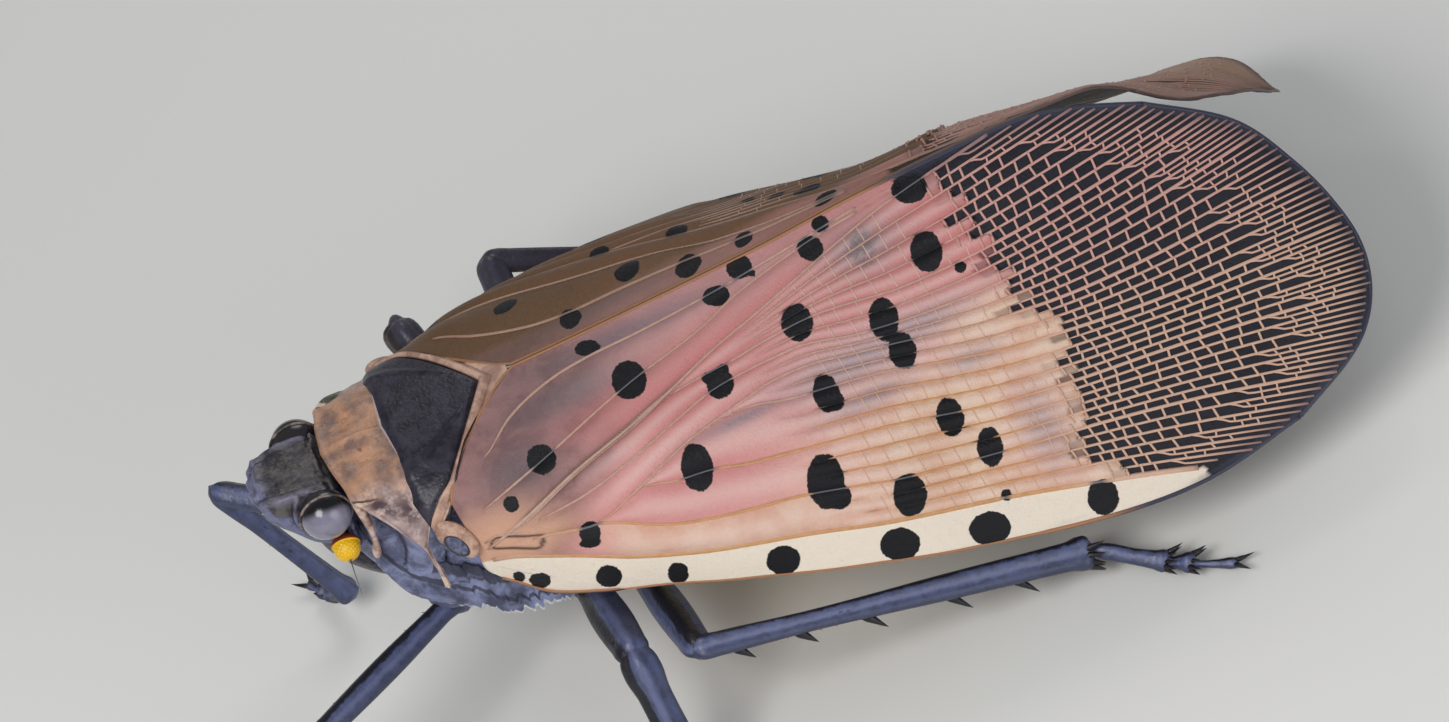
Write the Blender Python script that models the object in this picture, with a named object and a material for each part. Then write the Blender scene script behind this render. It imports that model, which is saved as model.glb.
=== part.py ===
"""Spotted lanternfly, adult, at rest on its six feet, life size.

The insect faces -X and its left side is -Y. Lengths are in millimetres here and become metres in
the mesh. Along the body, x is 0 at the tip of the scutellum. Heights count from the floor.
The whole insect is moved at the end, so that the origin is under the middle of its box.
"""
import math
import random

import bmesh
import bpy
from mathutils import Vector

MM = 0.001

# General sizes
GAP = 0.3              # clear space between neighbouring pieces
PLATE = 0.5            # thickness of wings and back plates
RIDGE_TOP = 8.1        # height of the back and of the line where the wings meet
MIDLINE_Y = 0.16       # each forewing keeps this far from the middle plane

# Head
HEAD_REAR_X = -4.6
EYE_CENTRE = Vector((-4.85, 1.26, 7.5))
EYE_RADIUS = 0.58
EYE_BASE_Y = 1.0       # flat base of the eye, towards the head
SOCKET_SPACE = 0.15    # clear ring round the eye
BULB_CENTRE = Vector((-4.82, 1.66, 6.46))
BULB_RADIUS = 0.29
BULB_STALK_RADIUS = 0.25
BULB_STALK_LENGTH = 0.14
BRISTLE_LENGTH = 0.9

# Stations of the head from front to back: x, half width, top, bottom
HEAD_STATIONS = [
    (-6.12, 0.34, 7.86, 7.36),
    (-6.02, 0.62, 8.02, 7.08),
    (-5.75, 0.92, 8.14, 6.72),
    (-5.35, 1.16, 8.18, 6.26),
    (-4.95, 1.28, 8.14, 5.92),
    (HEAD_REAR_X, 1.3, 8.02, 5.74),
]

# Stations of the thorax under its back plates
THORAX_STATIONS = [
    (HEAD_REAR_X + GAP, 1.3, 6.9, 5.3),
    (-3.75, 1.62, 7.0, 4.5),
    (-2.9, 1.95, 7.0, 4.18),
    (-1.9, 2.35, 6.95, 3.76),
    (-0.9, 2.6, 6.9, 3.42),
    (0.3, 2.5, 6.7, 3.24),
    (1.0, 2.0, 6.4, 3.35),
]
THORAX_POWER = 3.2     # how square the section is
THORAX_FLARE = 0.34    # how much wider it is below

# Stations of the abdomen
ABDOMEN_STATIONS = [
    (1.3, 2.0, 6.2, 3.35),
    (2.4, 2.35, 6.3, 3.0),
    (4.2, 2.5, 6.3, 2.85),
    (6.0, 2.4, 6.2, 2.95),
    (7.6, 2.0, 5.95, 3.2),
    (8.8, 1.35, 5.5, 3.6),
    (9.5, 0.6, 5.0, 4.1),
]

# The roof of the folded wings. Across the roof c counts |y| plus the drop below the ridge.
# x, c at the lower edge, drop there, power of the arch, drop at the middle
ROOF_STATIONS = [
    (-3.0, 5.0, 2.45, 2.5, 0.0),
    (-0.9, 7.1, 3.43, 2.3, 0.0),
    (2.0, 8.67, 3.92, 2.0, 0.0),
    (6.2, 10.7, 5.0, 1.5, -0.1),
    (8.8, 11.5, 5.55, 1.2, -0.3),
    (11.4, 12.2, 6.0, 1.15, -0.38),
    (13.4, 12.4, 6.15, 1.08, -0.3),
    (15.6, 12.0, 6.12, 1.02, 0.0),
    (17.4, 12.0, 6.2, 1.0, 0.5),
    (19.0, 12.0, 6.7, 1.0, 1.3),
]

# Outline of the forewing on the roof, as (x, c)
WING_BASE = [(-2.12, 3.05), (-2.02, 4.6), (-1.9, 5.95)]
WING_TIP = [(15.45, 0.95), (17.1, 2.6), (17.95, 4.5), (18.55, 7.1), (18.4, 9.1), (17.6, 10.6), (15.7, 11.95)]
WING_COSTA = [(-1.9, 5.95), (-0.88, 7.08), (2.04, 8.67), (6.23, 10.7), (10.73, 12.2), (13.3, 12.5), (15.7, 11.95)]
MIDLINE_END_X = 12.3    # from here on the inner edges leave the midline
SCUTELLUM_GAP_X = 0.05  # where the two wings start to meet behind the scutellum
WING_VEINS = 10         # main veins that stand up from the membrane
VEIN_HEIGHT = 0.13
WING_COLUMNS = 22

# The tip of the right forewing is twisted, so that it shows beyond the left one
TWIST_DEPTH = 0.62
TWIST_START_X = 14.4
TWIST_FULL_X = 16.8
TWIST_REACH = 3.2       # how far it fades, counted from the inner edge
TWIST_EDGE = [(14.4, 0.2), (15.45, 0.95), (17.1, 2.6), (17.95, 4.5), (18.55, 7.1)]

# Outline of the folded hindwing on the roof
HINDWING_DEPTH = PLATE + GAP + 0.05
HINDWING_BASE = [(1.1, 1.5), (1.0, 3.2), (1.1, 5.2)]
HINDWING_TIP = [(12.6, 2.0), (14.2, 4.2), (14.3, 6.6), (12.6, 8.9)]
HINDWING_COSTA = [(1.1, 5.2), (4.5, 7.6), (8.6, 9.1), (12.6, 8.9)]
HINDWING_INNER = [(1.1, 1.5), (5.0, 1.4), (9.0, 1.6), (12.6, 2.0)]

# Half section of the pronotum, from the midline to the tip of the side lobe:
# share, y, z, x of the front edge, x of the rear edge
PRONOTUM_STATIONS = [
    (0.0, 0.0, 8.02, -4.3, -2.95),
    (0.2, 0.95, 7.99, -4.2, -2.88),
    (0.38, 1.75, 7.76, -3.93, -2.72),
    (0.55, 2.28, 7.3, -3.62, -2.6),
    (0.72, 2.64, 6.7, -3.42, -2.96),
    (0.86, 2.78, 6.1, -3.36, -2.92),
    (1.0, 2.8, 5.55, -3.26, -2.96),
]

TEGULA_CENTRE = Vector((-2.5, 3.12, 6.7))
TEGULA_SIZE = Vector((0.3, 0.28, 0.42))

# Legs as joints from the body outwards, on the side named: hip, knee, ankle, claw
LEGS = {
    "fore_left": ((-3.15, -1.25, 3.4), (-7.1, -4.25, 4.3), (-5.5, -3.3, 0.75), (-6.6, -5.3, 0.2)),
    "fore_right": ((-3.15, 1.25, 3.4), (-7.1, 4.15, 4.3), (-5.35, 2.85, 0.75), (-6.2, 4.35, 0.2)),
    "mid_left": ((-0.25, -2.1, 2.8), (0.05, -5.5, 3.75), (0.15, -7.3, 0.8), (0.9, -9.4, 0.2)),
    "mid_right": ((-0.7, 2.0, 2.65), (-1.8, 5.85, 4.95), (-1.7, 7.1, 0.8), (-2.1, 9.2, 0.2)),
    "hind_left": ((0.95, -1.85, 2.35), (1.4, -5.75, 3.3), (10.2, -5.75, 0.8), (13.1, -7.4, 0.2)),
    "hind_right": ((0.55, 1.75, 2.35), (0.7, 6.85, 4.65), (9.0, 5.9, 0.8), (12.0, 7.3, 0.2)),
}
COXA_TOP = {"fore": 3.7, "mid": 2.86, "hind": 2.95}
FEMUR_RADIUS = {"fore": 0.4, "mid": 0.42, "hind": 0.42}
TIBIA_RADIUS = {"fore": 0.3, "mid": 0.31, "hind": 0.34}
TARSUS_RADIUS = 0.26
LEG_SIDES = 8

# Spines and claws
SPINE_SIDES = 5
SPINE_RADIUS = 0.2
SPINE_LENGTH = 0.66
TIBIA_SPINE_SHARES = (0.09, 0.25, 0.42, 0.63, 0.8)
CROWN_SPINES = 5
CROWN_LENGTH = 0.5
TARSUS_SPINE_SHARES = (0.58, 0.84)
CLAW_RADIUS = 0.17
CLAW_LENGTH = 0.5
SPINE_SEED = 7

# Colours: base colour, roughness
PAINT = {
    "head": ((0.055, 0.05, 0.065), 0.45),
    "eye": ((0.02, 0.02, 0.03), 0.15),
    "antenna": ((0.85, 0.55, 0.02), 0.5),
    "rostrum": ((0.06, 0.05, 0.06), 0.45),
    "pronotum": ((0.52, 0.32, 0.2), 0.5),
    "mesonotum": ((0.05, 0.05, 0.075), 0.45),
    "tegula": ((0.5, 0.33, 0.24), 0.5),
    "thorax": ((0.16, 0.17, 0.28), 0.6),
    "abdomen": ((0.7, 0.45, 0.05), 0.55),
    "forewing": ((0.55, 0.3, 0.26), 0.5),
    "hindwing": ((0.55, 0.03, 0.02), 0.5),
    "leg": ((0.035, 0.035, 0.06), 0.4),
}


def clear_scene():
    """Removes what the file opened with."""
    for thing in list(bpy.data.objects):
        bpy.data.objects.remove(thing, do_unlink=True)


def paint(name):
    """The material of one kind of surface, made once."""
    if name in bpy.data.materials:
        return bpy.data.materials[name]
    colour, roughness = PAINT[name]
    material = bpy.data.materials.new(name)
    material.use_nodes = True
    shader = material.node_tree.nodes["Principled BSDF"]
    shader.inputs["Base Color"].default_value = (*colour, 1.0)
    shader.inputs["Roughness"].default_value = roughness
    shader.inputs["Metallic"].default_value = 0.0
    return material


def smooth(stations, x, column):
    """Reads one column of a table of stations at x, on a smooth curve through them."""
    last = len(stations) - 1
    i = 0
    while i < last - 1 and x > stations[i + 1][0]:
        i += 1
    x0, x1 = stations[i][0], stations[i + 1][0]
    v0, v1 = stations[i][column], stations[i + 1][column]
    step = x1 - x0
    slope = (v1 - v0) / step
    before, after = slope, slope
    if i > 0:
        before = (v1 - stations[i - 1][column]) / (x1 - stations[i - 1][0])
    if i < last - 1:
        after = (stations[i + 2][column] - v0) / (stations[i + 2][0] - x0)
    t = min(max((x - x0) / step, 0.0), 1.0)
    h = t * t * (3.0 - 2.0 * t)
    return (v0 + (v1 - v0) * h + step * before * t * (1 - t) ** 2 - step * after * t * t * (1 - t))


def make_object(name, points, faces, surface):
    """One closed piece from points in millimetres."""
    mesh = bpy.data.meshes.new(name)
    mesh.from_pydata([tuple(Vector(p) * MM) for p in points], [], faces)
    work = bmesh.new()
    work.from_mesh(mesh)
    bmesh.ops.recalc_face_normals(work, faces=work.faces)
    bmesh.ops.triangulate(work, faces=work.faces, quad_method="FIXED")
    work.to_mesh(mesh)
    work.free()
    mesh.materials.append(paint(surface))
    mesh.shade_smooth()
    mesh.set_sharp_from_angle(angle=math.radians(40))
    piece = bpy.data.objects.new(name, mesh)
    bpy.context.collection.objects.link(piece)
    return piece


def loft(rings):
    """Points and faces of a closed skin over rings of equal count, with domed or flat ends."""
    count = len(rings[0])
    points = [p for ring in rings for p in ring]
    faces = []
    for r in range(len(rings) - 1):
        a, b = r * count, (r + 1) * count
        for i in range(count):
            j = (i + 1) % count
            faces.append((a + i, a + j, b + j, b + i))
    for ring, start in ((rings[0], 0), (rings[-1], (len(rings) - 1) * count)):
        centre = sum((Vector(p) for p in ring), Vector()) / count
        points.append(centre)
        for i in range(count):
            j = (i + 1) % count
            faces.append((start + i, start + j, len(points) - 1))
    return points, faces


def body_ring(x, half_width, top, bottom, count, power, flare=0.0):
    """A rounded section across the body, wider below by the flare."""
    middle, half_height = (top + bottom) / 2, (top - bottom) / 2
    ring = []
    for i in range(count):
        angle = 2 * math.pi * (i + 0.5) / count
        cosine, sine = math.cos(angle), math.sin(angle)
        y = half_width * math.copysign(abs(cosine) ** (2 / power), cosine)
        z = half_height * math.copysign(abs(sine) ** (2 / power), sine)
        ring.append(Vector((x, y * (1 - flare * sine), middle + z)))
    return ring


def body_piece(name, stations, rows, count, power, surface, flare=0.0):
    """A piece of the trunk, lofted through its stations."""
    first, last = stations[0][0], stations[-1][0]
    rings = []
    for r in range(rows + 1):
        x = first + (last - first) * r / rows
        sizes = [smooth(stations, x, column) for column in (1, 2, 3)]
        rings.append(body_ring(x, *sizes, count, power, flare))
    points, faces = loft(rings)
    return make_object(name, points, faces, surface)


def twist(x, c):
    """How much lower the tip of the right forewing lies at (x, c)."""
    share = min(max((x - TWIST_START_X) / (TWIST_FULL_X - TWIST_START_X), 0.0), 1.0)
    far = max(c - smooth(TWIST_EDGE, x, 1), 0.0)
    return TWIST_DEPTH * share * share * (3 - 2 * share) * math.exp(-(far / TWIST_REACH) ** 2)


def roof(x, c, side):
    """The point of the wings' roof at (x, c). Side is -1 for left and 1 for right."""
    edge = smooth(ROOF_STATIONS, x, 1)
    drop = smooth(ROOF_STATIONS, x, 2)
    power = smooth(ROOF_STATIONS, x, 3)
    middle = smooth(ROOF_STATIONS, x, 4)
    fall = middle + (drop - middle) * (max(c - middle, 0.0) / (edge - middle)) ** power
    if side > 0:
        fall += twist(x, c)
    return Vector((x, side * (c - fall), RIDGE_TOP - fall))


def roof_normal(x, c, side):
    """The direction that points straight out of the roof."""
    small = 0.05
    low = max(c - small, 0.0)
    along = roof(x + small, c, side) - roof(x - small, c, side)
    across = roof(x, c + small, side) - roof(x, low, side)
    normal = along.cross(across)
    normal.normalize()
    return normal if normal.z > 0 else -normal


def along_line(corners, share):
    """A point on a chain of smooth spans, at a share of its length from 0 to 1."""
    corners = [Vector(p) for p in corners]
    lengths = [(b - a).length for a, b in zip(corners, corners[1:])]
    marks = [0.0]
    for length in lengths:
        marks.append(marks[-1] + length)
    table = [(mark / marks[-1], p.x, p.y) for mark, p in zip(marks, corners)]
    return Vector((smooth(table, share, 1), smooth(table, share, 2)))


def inner_edge(share):
    """The inner edge of the forewing: past the scutellum, then along the midline to the tip."""
    start, meet, tip = Vector(WING_BASE[0]), Vector((SCUTELLUM_GAP_X, MIDLINE_Y)), Vector(WING_TIP[0])
    slant = (meet - start).length
    straight = MIDLINE_END_X - meet.x
    curve = tip.x - MIDLINE_END_X
    at = share * (slant + straight + curve)
    if at < slant:
        return start.lerp(meet, at / slant)
    x = meet.x + at - slant
    ridge = smooth(ROOF_STATIONS, x, 4) + MIDLINE_Y
    t = max(x - MIDLINE_END_X, 0.0) / curve
    return Vector((x, ridge + (tip.y - ridge) * t * t))


def wing_chart(u, v, inner, base, tip, costa):
    """Where a wing's own (u, v) lies on the roof: u from base to tip, v from inner edge to costa."""
    low, high = inner(u), along_line(costa, u)
    start, end = along_line(base, v), along_line(tip, v)
    corners = (
        Vector(base[0]) * (1 - u) * (1 - v) + Vector(base[-1]) * (1 - u) * v
        + Vector(tip[0]) * u * (1 - v) + Vector(tip[-1]) * u * v
    )
    return low * (1 - v) + high * v + start * (1 - u) + end * u - corners


def shell(name, outer, inner, surface):
    """A closed plate between two grids of points, split into triangles alike on both faces."""
    rows, columns = len(outer), len(outer[0])
    points = [p for row in outer for p in row] + [p for row in inner for p in row]
    under = rows * columns
    faces = []
    for r in range(rows - 1):
        for c in range(columns - 1):
            a, b = r * columns + c, r * columns + c + 1
            d, e = a + columns, b + columns
            for corner in ((a, b, e), (a, e, d)):
                faces.append(corner)
                faces.append(tuple(under + i for i in reversed(corner)))
    rim = [r * columns for r in range(rows)]
    rim += [(rows - 1) * columns + c for c in range(1, columns)]
    rim += [r * columns + columns - 1 for r in range(rows - 2, -1, -1)]
    rim += list(range(columns - 2, 0, -1))
    for i, a in enumerate(rim):
        b = rim[(i + 1) % len(rim)]
        faces.append((a, b, under + b))
        faces.append((a, under + b, under + a))
    return make_object(name, points, faces, surface)


def sheet_of_roof(name, chart, rows, columns, side, depth, ridge, surface):
    """A wing: a plate that follows the roof at a depth below it, with raised veins on its outer face."""
    outer, inner = [], []
    for r in range(rows + 1):
        outer_row, inner_row = [], []
        for c in range(columns + 1):
            place = chart(c / columns, r / rows)
            point = roof(place.x, place.y, side)
            normal = roof_normal(place.x, place.y, side)
            height = ridge if r % 2 and 0 < c < columns else 0.0
            top = point + normal * (height - depth)
            bottom = point - normal * (depth + PLATE)
            for p in (top, bottom):
                p.y = side * max(side * p.y, MIDLINE_Y)
            outer_row.append(top)
            inner_row.append(bottom)
        outer.append(outer_row)
        inner.append(inner_row)
    return shell(name, outer, inner, surface)


def make_forewing(name, side):
    rows = 2 * WING_VEINS

    def chart(u, v):
        return wing_chart(u, v, inner_edge, WING_BASE, WING_TIP, WING_COSTA)

    sheet_of_roof(name, chart, rows, WING_COLUMNS, side, 0.0, VEIN_HEIGHT, "forewing")


def make_hindwing(name, side):
    def inner(share):
        return along_line(HINDWING_INNER, share)

    def chart(u, v):
        return wing_chart(u, v, inner, HINDWING_BASE, HINDWING_TIP, HINDWING_COSTA)

    sheet_of_roof(name, chart, 10, 12, side, HINDWING_DEPTH, 0.08, "hindwing")


def make_mesonotum():
    """The dark shield between the wing bases, with its tan border, down to the scutellum's tip."""
    slope = (WING_BASE[0][1] - MIDLINE_Y) / (SCUTELLUM_GAP_X - WING_BASE[0][0])
    front_x, tip_x = -2.6, -0.22
    rows, columns = 8, 12
    outer, inner = [], []
    for r in range(rows + 1):
        outer_row, inner_row = [], []
        for c in range(columns + 1):
            across = 2 * c / columns - 1
            x = front_x + (tip_x - front_x) * r / rows
            x += (1 - r / rows) * 0.3 * across * across
            reach = MIDLINE_Y + (SCUTELLUM_GAP_X - x) * slope - GAP - 0.16
            side = -1 if across < 0 else 1
            place = reach * abs(across)
            point, normal = roof(x, place, side), roof_normal(x, place, side)
            outer_row.append(point)
            inner_row.append(point - normal * PLATE)
        outer.append(outer_row)
        inner.append(inner_row)
    shell("mesonotum", outer, inner, "mesonotum")


def make_pronotum():
    """The saddle behind the head, with a lobe down each side."""
    rows, columns = 4, 20
    outer, inner = [], []
    for r in range(rows + 1):
        outer_row, inner_row = [], []
        for c in range(columns + 1):
            across = 2 * c / columns - 1
            share, side = abs(across), -1 if across < 0 else 1
            y, z, front, rear = (smooth(PRONOTUM_STATIONS, share, i) for i in (1, 2, 3, 4))
            step = 0.02
            low, high = max(share - step, 0.0), min(share + step, 1.0)
            run = smooth(PRONOTUM_STATIONS, high, 1) - smooth(PRONOTUM_STATIONS, low, 1)
            rise = smooth(PRONOTUM_STATIONS, high, 2) - smooth(PRONOTUM_STATIONS, low, 2)
            outward = Vector((0, -rise * side, run)).normalized()
            point = Vector((front + (rear - front) * r / rows, y * side, z))
            outer_row.append(point)
            inner_row.append(point - outward * PLATE)
        outer.append(outer_row)
        inner.append(inner_row)
    shell("pronotum", outer, inner, "pronotum")


def ball(centre, size, rings, count, axis=Vector((0, 0, 1)), start=0.0):
    """Rings of a ball about an axis, from a share of its height to its top."""
    axis = Vector(axis).normalized()
    side = axis.orthogonal().normalized()
    other = axis.cross(side)
    result = []
    for r in range(rings + 1):
        angle = math.pi * (start + (1 - start) * r / rings)
        angle = min(max(angle, 0.12), math.pi - 0.12)
        height, radius = -math.cos(angle), math.sin(angle)
        ring = []
        for i in range(count):
            turn = 2 * math.pi * i / count
            offset = side * (radius * math.cos(turn)) + other * (radius * math.sin(turn)) + axis * height
            ring.append(centre + Vector((offset.x * size.x, offset.y * size.y, offset.z * size.z)))
        result.append(ring)
    return result


def mirrored(point, side):
    return Vector((point[0], side * point[1], point[2]))


def make_eye(name, side):
    """A dome on a flat base that faces the head."""
    centre = mirrored(EYE_CENTRE, side)
    size = Vector((EYE_RADIUS, EYE_RADIUS, EYE_RADIUS))
    base = math.acos((EYE_CENTRE.y - EYE_BASE_Y) / EYE_RADIUS) / math.pi
    points, faces = loft(ball(centre, size, 7, 14, Vector((0, side, 0)), base))
    make_object(name, points, faces, "eye")


def make_antenna(name, side):
    """The bulb under the eye on its short stalk, with the fine bristle at its end."""
    axis = Vector((-0.15, side, -0.25)).normalized()
    centre = mirrored(BULB_CENTRE, side)
    across = axis.orthogonal().normalized()
    other = axis.cross(across)
    profile = [(-BULB_STALK_LENGTH - 0.04, BULB_STALK_RADIUS), (-BULB_STALK_LENGTH, BULB_STALK_RADIUS + 0.02)]
    for step in range(4):
        angle = math.radians(-30 + 33 * step)
        profile.append((BULB_RADIUS * math.sin(angle), BULB_RADIUS * math.cos(angle)))
    profile += [(BULB_RADIUS, 0.09), (BULB_RADIUS + 0.1, 0.06), (BULB_RADIUS + BRISTLE_LENGTH, 0.02)]
    rings = []
    for height, radius in profile:
        ring = []
        for i in range(10):
            turn = 2 * math.pi * i / 10
            ring.append(centre + axis * height + (across * math.cos(turn) + other * math.sin(turn)) * radius)
        rings.append(ring)
    points, faces = loft(rings)
    make_object(name, points, faces, "antenna")


def make_head():
    """The head with a flat-floored socket for each eye."""
    head = body_piece("head", HEAD_STATIONS, 9, 18, 2.5, "head", -0.1)
    cutters = new_group("sockets")
    for side in (-1, 1):
        floor_y = EYE_BASE_Y - GAP
        depth = 2.0
        centre = Vector((EYE_CENTRE.x, side * (floor_y + depth / 2), EYE_CENTRE.z))
        bpy.ops.mesh.primitive_cylinder_add(
            vertices=18, radius=(EYE_RADIUS + SOCKET_SPACE) * MM, depth=depth * MM,
            location=centre * MM, rotation=(math.pi / 2, 0, 0),
        )
        cutter = bpy.context.object
        for home in list(cutter.users_collection):
            home.objects.unlink(cutter)
        cutters.objects.link(cutter)
    combine(head, cutters, "DIFFERENCE")


def combine(piece, others, operation):
    """Joins or cuts a piece by a collection of closed meshes, and removes them."""
    boolean = piece.modifiers.new("combine", "BOOLEAN")
    boolean.operation = operation
    boolean.operand_type = "COLLECTION"
    boolean.collection = others
    boolean.solver = "EXACT"
    bpy.context.view_layer.update()
    result = bpy.data.meshes.new_from_object(piece.evaluated_get(bpy.context.evaluated_depsgraph_get()))
    piece.modifiers.clear()
    piece.data = result
    for other in list(others.objects):
        bpy.data.objects.remove(other, do_unlink=True)
    bpy.data.collections.remove(others)
    keep_largest(piece.data)
    result.shade_smooth()
    result.set_sharp_from_angle(angle=math.radians(40))


def keep_largest(mesh):
    """Keeps only the largest closed surface of a mesh."""
    work = bmesh.new()
    work.from_mesh(mesh)
    unseen = set(work.faces)
    groups = []
    while unseen:
        group, edge = set(), [unseen.pop()]
        while edge:
            face = edge.pop()
            group.add(face)
            for side in face.edges:
                for near in side.link_faces:
                    if near in unseen:
                        unseen.remove(near)
                        edge.append(near)
        groups.append(group)
    largest = max(groups, key=lambda group: sum(face.calc_area() for face in group))
    scraps = [face for group in groups if group is not largest for face in group]
    bmesh.ops.delete(work, geom=scraps, context="FACES")
    loose = [vert for vert in work.verts if not vert.link_faces]
    bmesh.ops.delete(work, geom=loose, context="VERTS")
    work.to_mesh(mesh)
    work.free()


def limb(path, radii, sides=LEG_SIDES, floor=False):
    """Rings along a path, with rounded ends; on the floor they are flat below."""
    path = [Vector(p) for p in path]
    first = (path[1] - path[0]).normalized()
    up = Vector((0, 0, 1)) - first * first.z
    up.normalize()
    rings = []
    for i, point in enumerate(path):
        ahead = path[min(i + 1, len(path) - 1)]
        behind = path[max(i - 1, 0)]
        direction = (ahead - behind).normalized()
        up = (up - direction * up.dot(direction)).normalized()
        across = direction.cross(up)
        ring = []
        for k in range(sides):
            turn = 2 * math.pi * (k + 0.5) / sides
            p = point + (across * math.cos(turn) + up * math.sin(turn)) * radii[i]
            if floor:
                p.z = max(p.z, 0.0)
            ring.append(p)
        rings.append(ring)
    return rings


def straight_limb(start, end, profile):
    """A path and radii for a straight segment: profile lists (share of length, radius)."""
    start, end = Vector(start), Vector(end)
    path = [start.lerp(end, share) for share, radius in profile]
    return path, [radius for share, radius in profile]


def make_femur(leg, kind, hip, knee):
    """Coxa, trochanter and femur, from under the thorax to the knee."""
    radius = FEMUR_RADIUS[kind]
    hip, knee = Vector(hip), Vector(knee)
    root = Vector((hip.x + 0.15, hip.y * 0.8, COXA_TOP[kind] - GAP))
    direction = (knee - hip).normalized()
    path = [root, root.lerp(hip, 0.5)]
    radii = [0.48, 0.48]
    for share, size in ((0.0, 0.42), (0.12, 0.36), (0.3, radius), (0.6, radius), (0.88, radius * 0.92)):
        path.append(hip + (knee - hip) * share)
        radii.append(size)
    path += [knee, knee + direction * radius * 0.55]
    radii += [radius, radius * 0.5]
    points, faces = loft(limb(path, radii))
    make_object(f"{leg}_femur", points, faces, "leg")


def new_group(name):
    group = bpy.data.collections.new(name)
    bpy.context.scene.collection.children.link(group)
    return group


def thorn(group, root, direction, length, radius):
    """A pointed spine, closed at its root, put into a group that is joined to a leg later."""
    axis = direction.normalized()
    across = axis.orthogonal().normalized()
    other = axis.cross(across)
    rings = []
    for share, size in ((0.0, 1.0), (0.5, 0.68)):
        ring = []
        for i in range(SPINE_SIDES):
            turn = 2 * math.pi * i / SPINE_SIDES
            offset = across * math.cos(turn) + other * math.sin(turn)
            ring.append(root + axis * length * share + offset * radius * size)
        rings.append(ring)
    points = rings[0] + rings[1] + [root + axis * length]
    n = SPINE_SIDES
    faces = [tuple(range(n - 1, -1, -1))]
    for i in range(n):
        j = (i + 1) % n
        faces.append((i, j, n + j, n + i))
        faces.append((n + i, n + j, 2 * n))
    piece = make_object("thorn", points, faces, "leg")
    for home in list(piece.users_collection):
        home.objects.unlink(piece)
    group.objects.link(piece)


def tibia_spines(group, knee, ankle, radius, side, chance):
    """The row down the outer side of a hind tibia and the crown at its end."""
    along = (ankle - knee).normalized()
    outward = Vector((0, side, -1)).normalized()
    outward = (outward - along * outward.dot(along)).normalized()
    for share in TIBIA_SPINE_SHARES:
        length = SPINE_LENGTH * (0.55 + 0.45 * share + chance.uniform(-0.04, 0.04))
        root = knee.lerp(ankle, share) + outward * radius * 0.45
        thorn(group, root, along * 0.8 + outward * 0.62, length, SPINE_RADIUS)
    across = along.cross(outward)
    for i in range(CROWN_SPINES):
        turn = math.radians(-80 + 160 * i / (CROWN_SPINES - 1))
        radial = outward * math.cos(turn) + across * math.sin(turn)
        root = ankle - along * 0.16 + radial * radius * 0.5
        length = CROWN_LENGTH * chance.uniform(0.9, 1.1)
        thorn(group, root, along * 0.85 + radial * 0.5, length, SPINE_RADIUS * 0.8)


def make_tibia(leg, kind, knee, ankle):
    radius = TIBIA_RADIUS[kind]
    knee, ankle = Vector(knee), Vector(ankle)
    direction = (ankle - knee).normalized()
    room = 0.26 if kind == "fore" else 0.1
    start = knee + direction * (FEMUR_RADIUS[kind] + GAP + room)
    profile = [(0.0, radius * 0.6), (0.03, radius * 0.95), (0.12, radius), (0.5, radius * 0.92),
               (0.85, radius), (0.97, radius * 1.08), (1.0, radius * 0.7)]
    path, radii = straight_limb(start, ankle, profile)
    points, faces = loft(limb(path, radii))
    tibia = make_object(f"{leg}_tibia", points, faces, "leg")
    if kind == "hind":
        group = new_group("spines")
        side = -1 if knee.y < 0 else 1
        tibia_spines(group, knee, ankle, radius, side, random.Random(SPINE_SEED))
        combine(tibia, group, "UNION")


def make_tarsus(leg, kind, ankle, claw, tibia_direction):
    """The foot: three short segments, flat where they stand on the floor."""
    ankle, claw = Vector(ankle), Vector(claw)
    start = ankle + tibia_direction * GAP * 0.4
    flat = Vector((claw.x - start.x, claw.y - start.y, 0))
    start += flat.normalized() * (TIBIA_RADIUS[kind] + GAP * 0.85)
    start.z = max(start.z - 0.25, TARSUS_RADIUS + 0.1)
    size = TARSUS_RADIUS
    touch = claw.z
    shares = [(0.0, start.z, 0.75), (0.08, start.z, 1.0), (0.3, (start.z + touch) / 2, 1.1), (0.4, touch, 0.95),
              (0.6, touch, 1.15), (0.68, touch, 0.95), (0.9, touch, 1.1), (1.0, touch, 0.8)]
    path, radii = [], []
    for share, height, scale in shares:
        point = start.lerp(claw, share)
        point.z = height
        path.append(point)
        radii.append(size * scale)
    points, faces = loft(limb(path, radii, floor=True))
    tarsus = make_object(f"{leg}_tarsus", points, faces, "leg")
    group = new_group("claws")
    along = flat.normalized()
    across = Vector((-along.y, along.x, 0))
    for hand in (-1, 1):
        root = claw - along * 0.1 + across * hand * 0.08
        thorn(group, root, along * 0.85 + across * hand * 0.4, CLAW_LENGTH, CLAW_RADIUS)
        if kind == "hind":
            for share in TARSUS_SPINE_SHARES:
                root = start.lerp(claw, share) + across * hand * 0.12
                root.z = touch + 0.06
                thorn(group, root, along * 0.8 + across * hand * 0.5, CROWN_LENGTH, CLAW_RADIUS)
    combine(tarsus, group, "UNION")


def make_legs():
    for leg, (hip, knee, ankle, claw) in LEGS.items():
        kind = leg.split("_")[0]
        direction = (Vector(ankle) - Vector(knee)).normalized()
        make_femur(leg, kind, hip, knee)
        make_tibia(leg, kind, knee, ankle)
        make_tarsus(leg, kind, ankle, claw, direction)


def make_tegula(name, side):
    centre = mirrored(TEGULA_CENTRE, side)
    points, faces = loft(ball(centre, TEGULA_SIZE, 6, 10))
    make_object(name, points, faces, "tegula")


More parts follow.
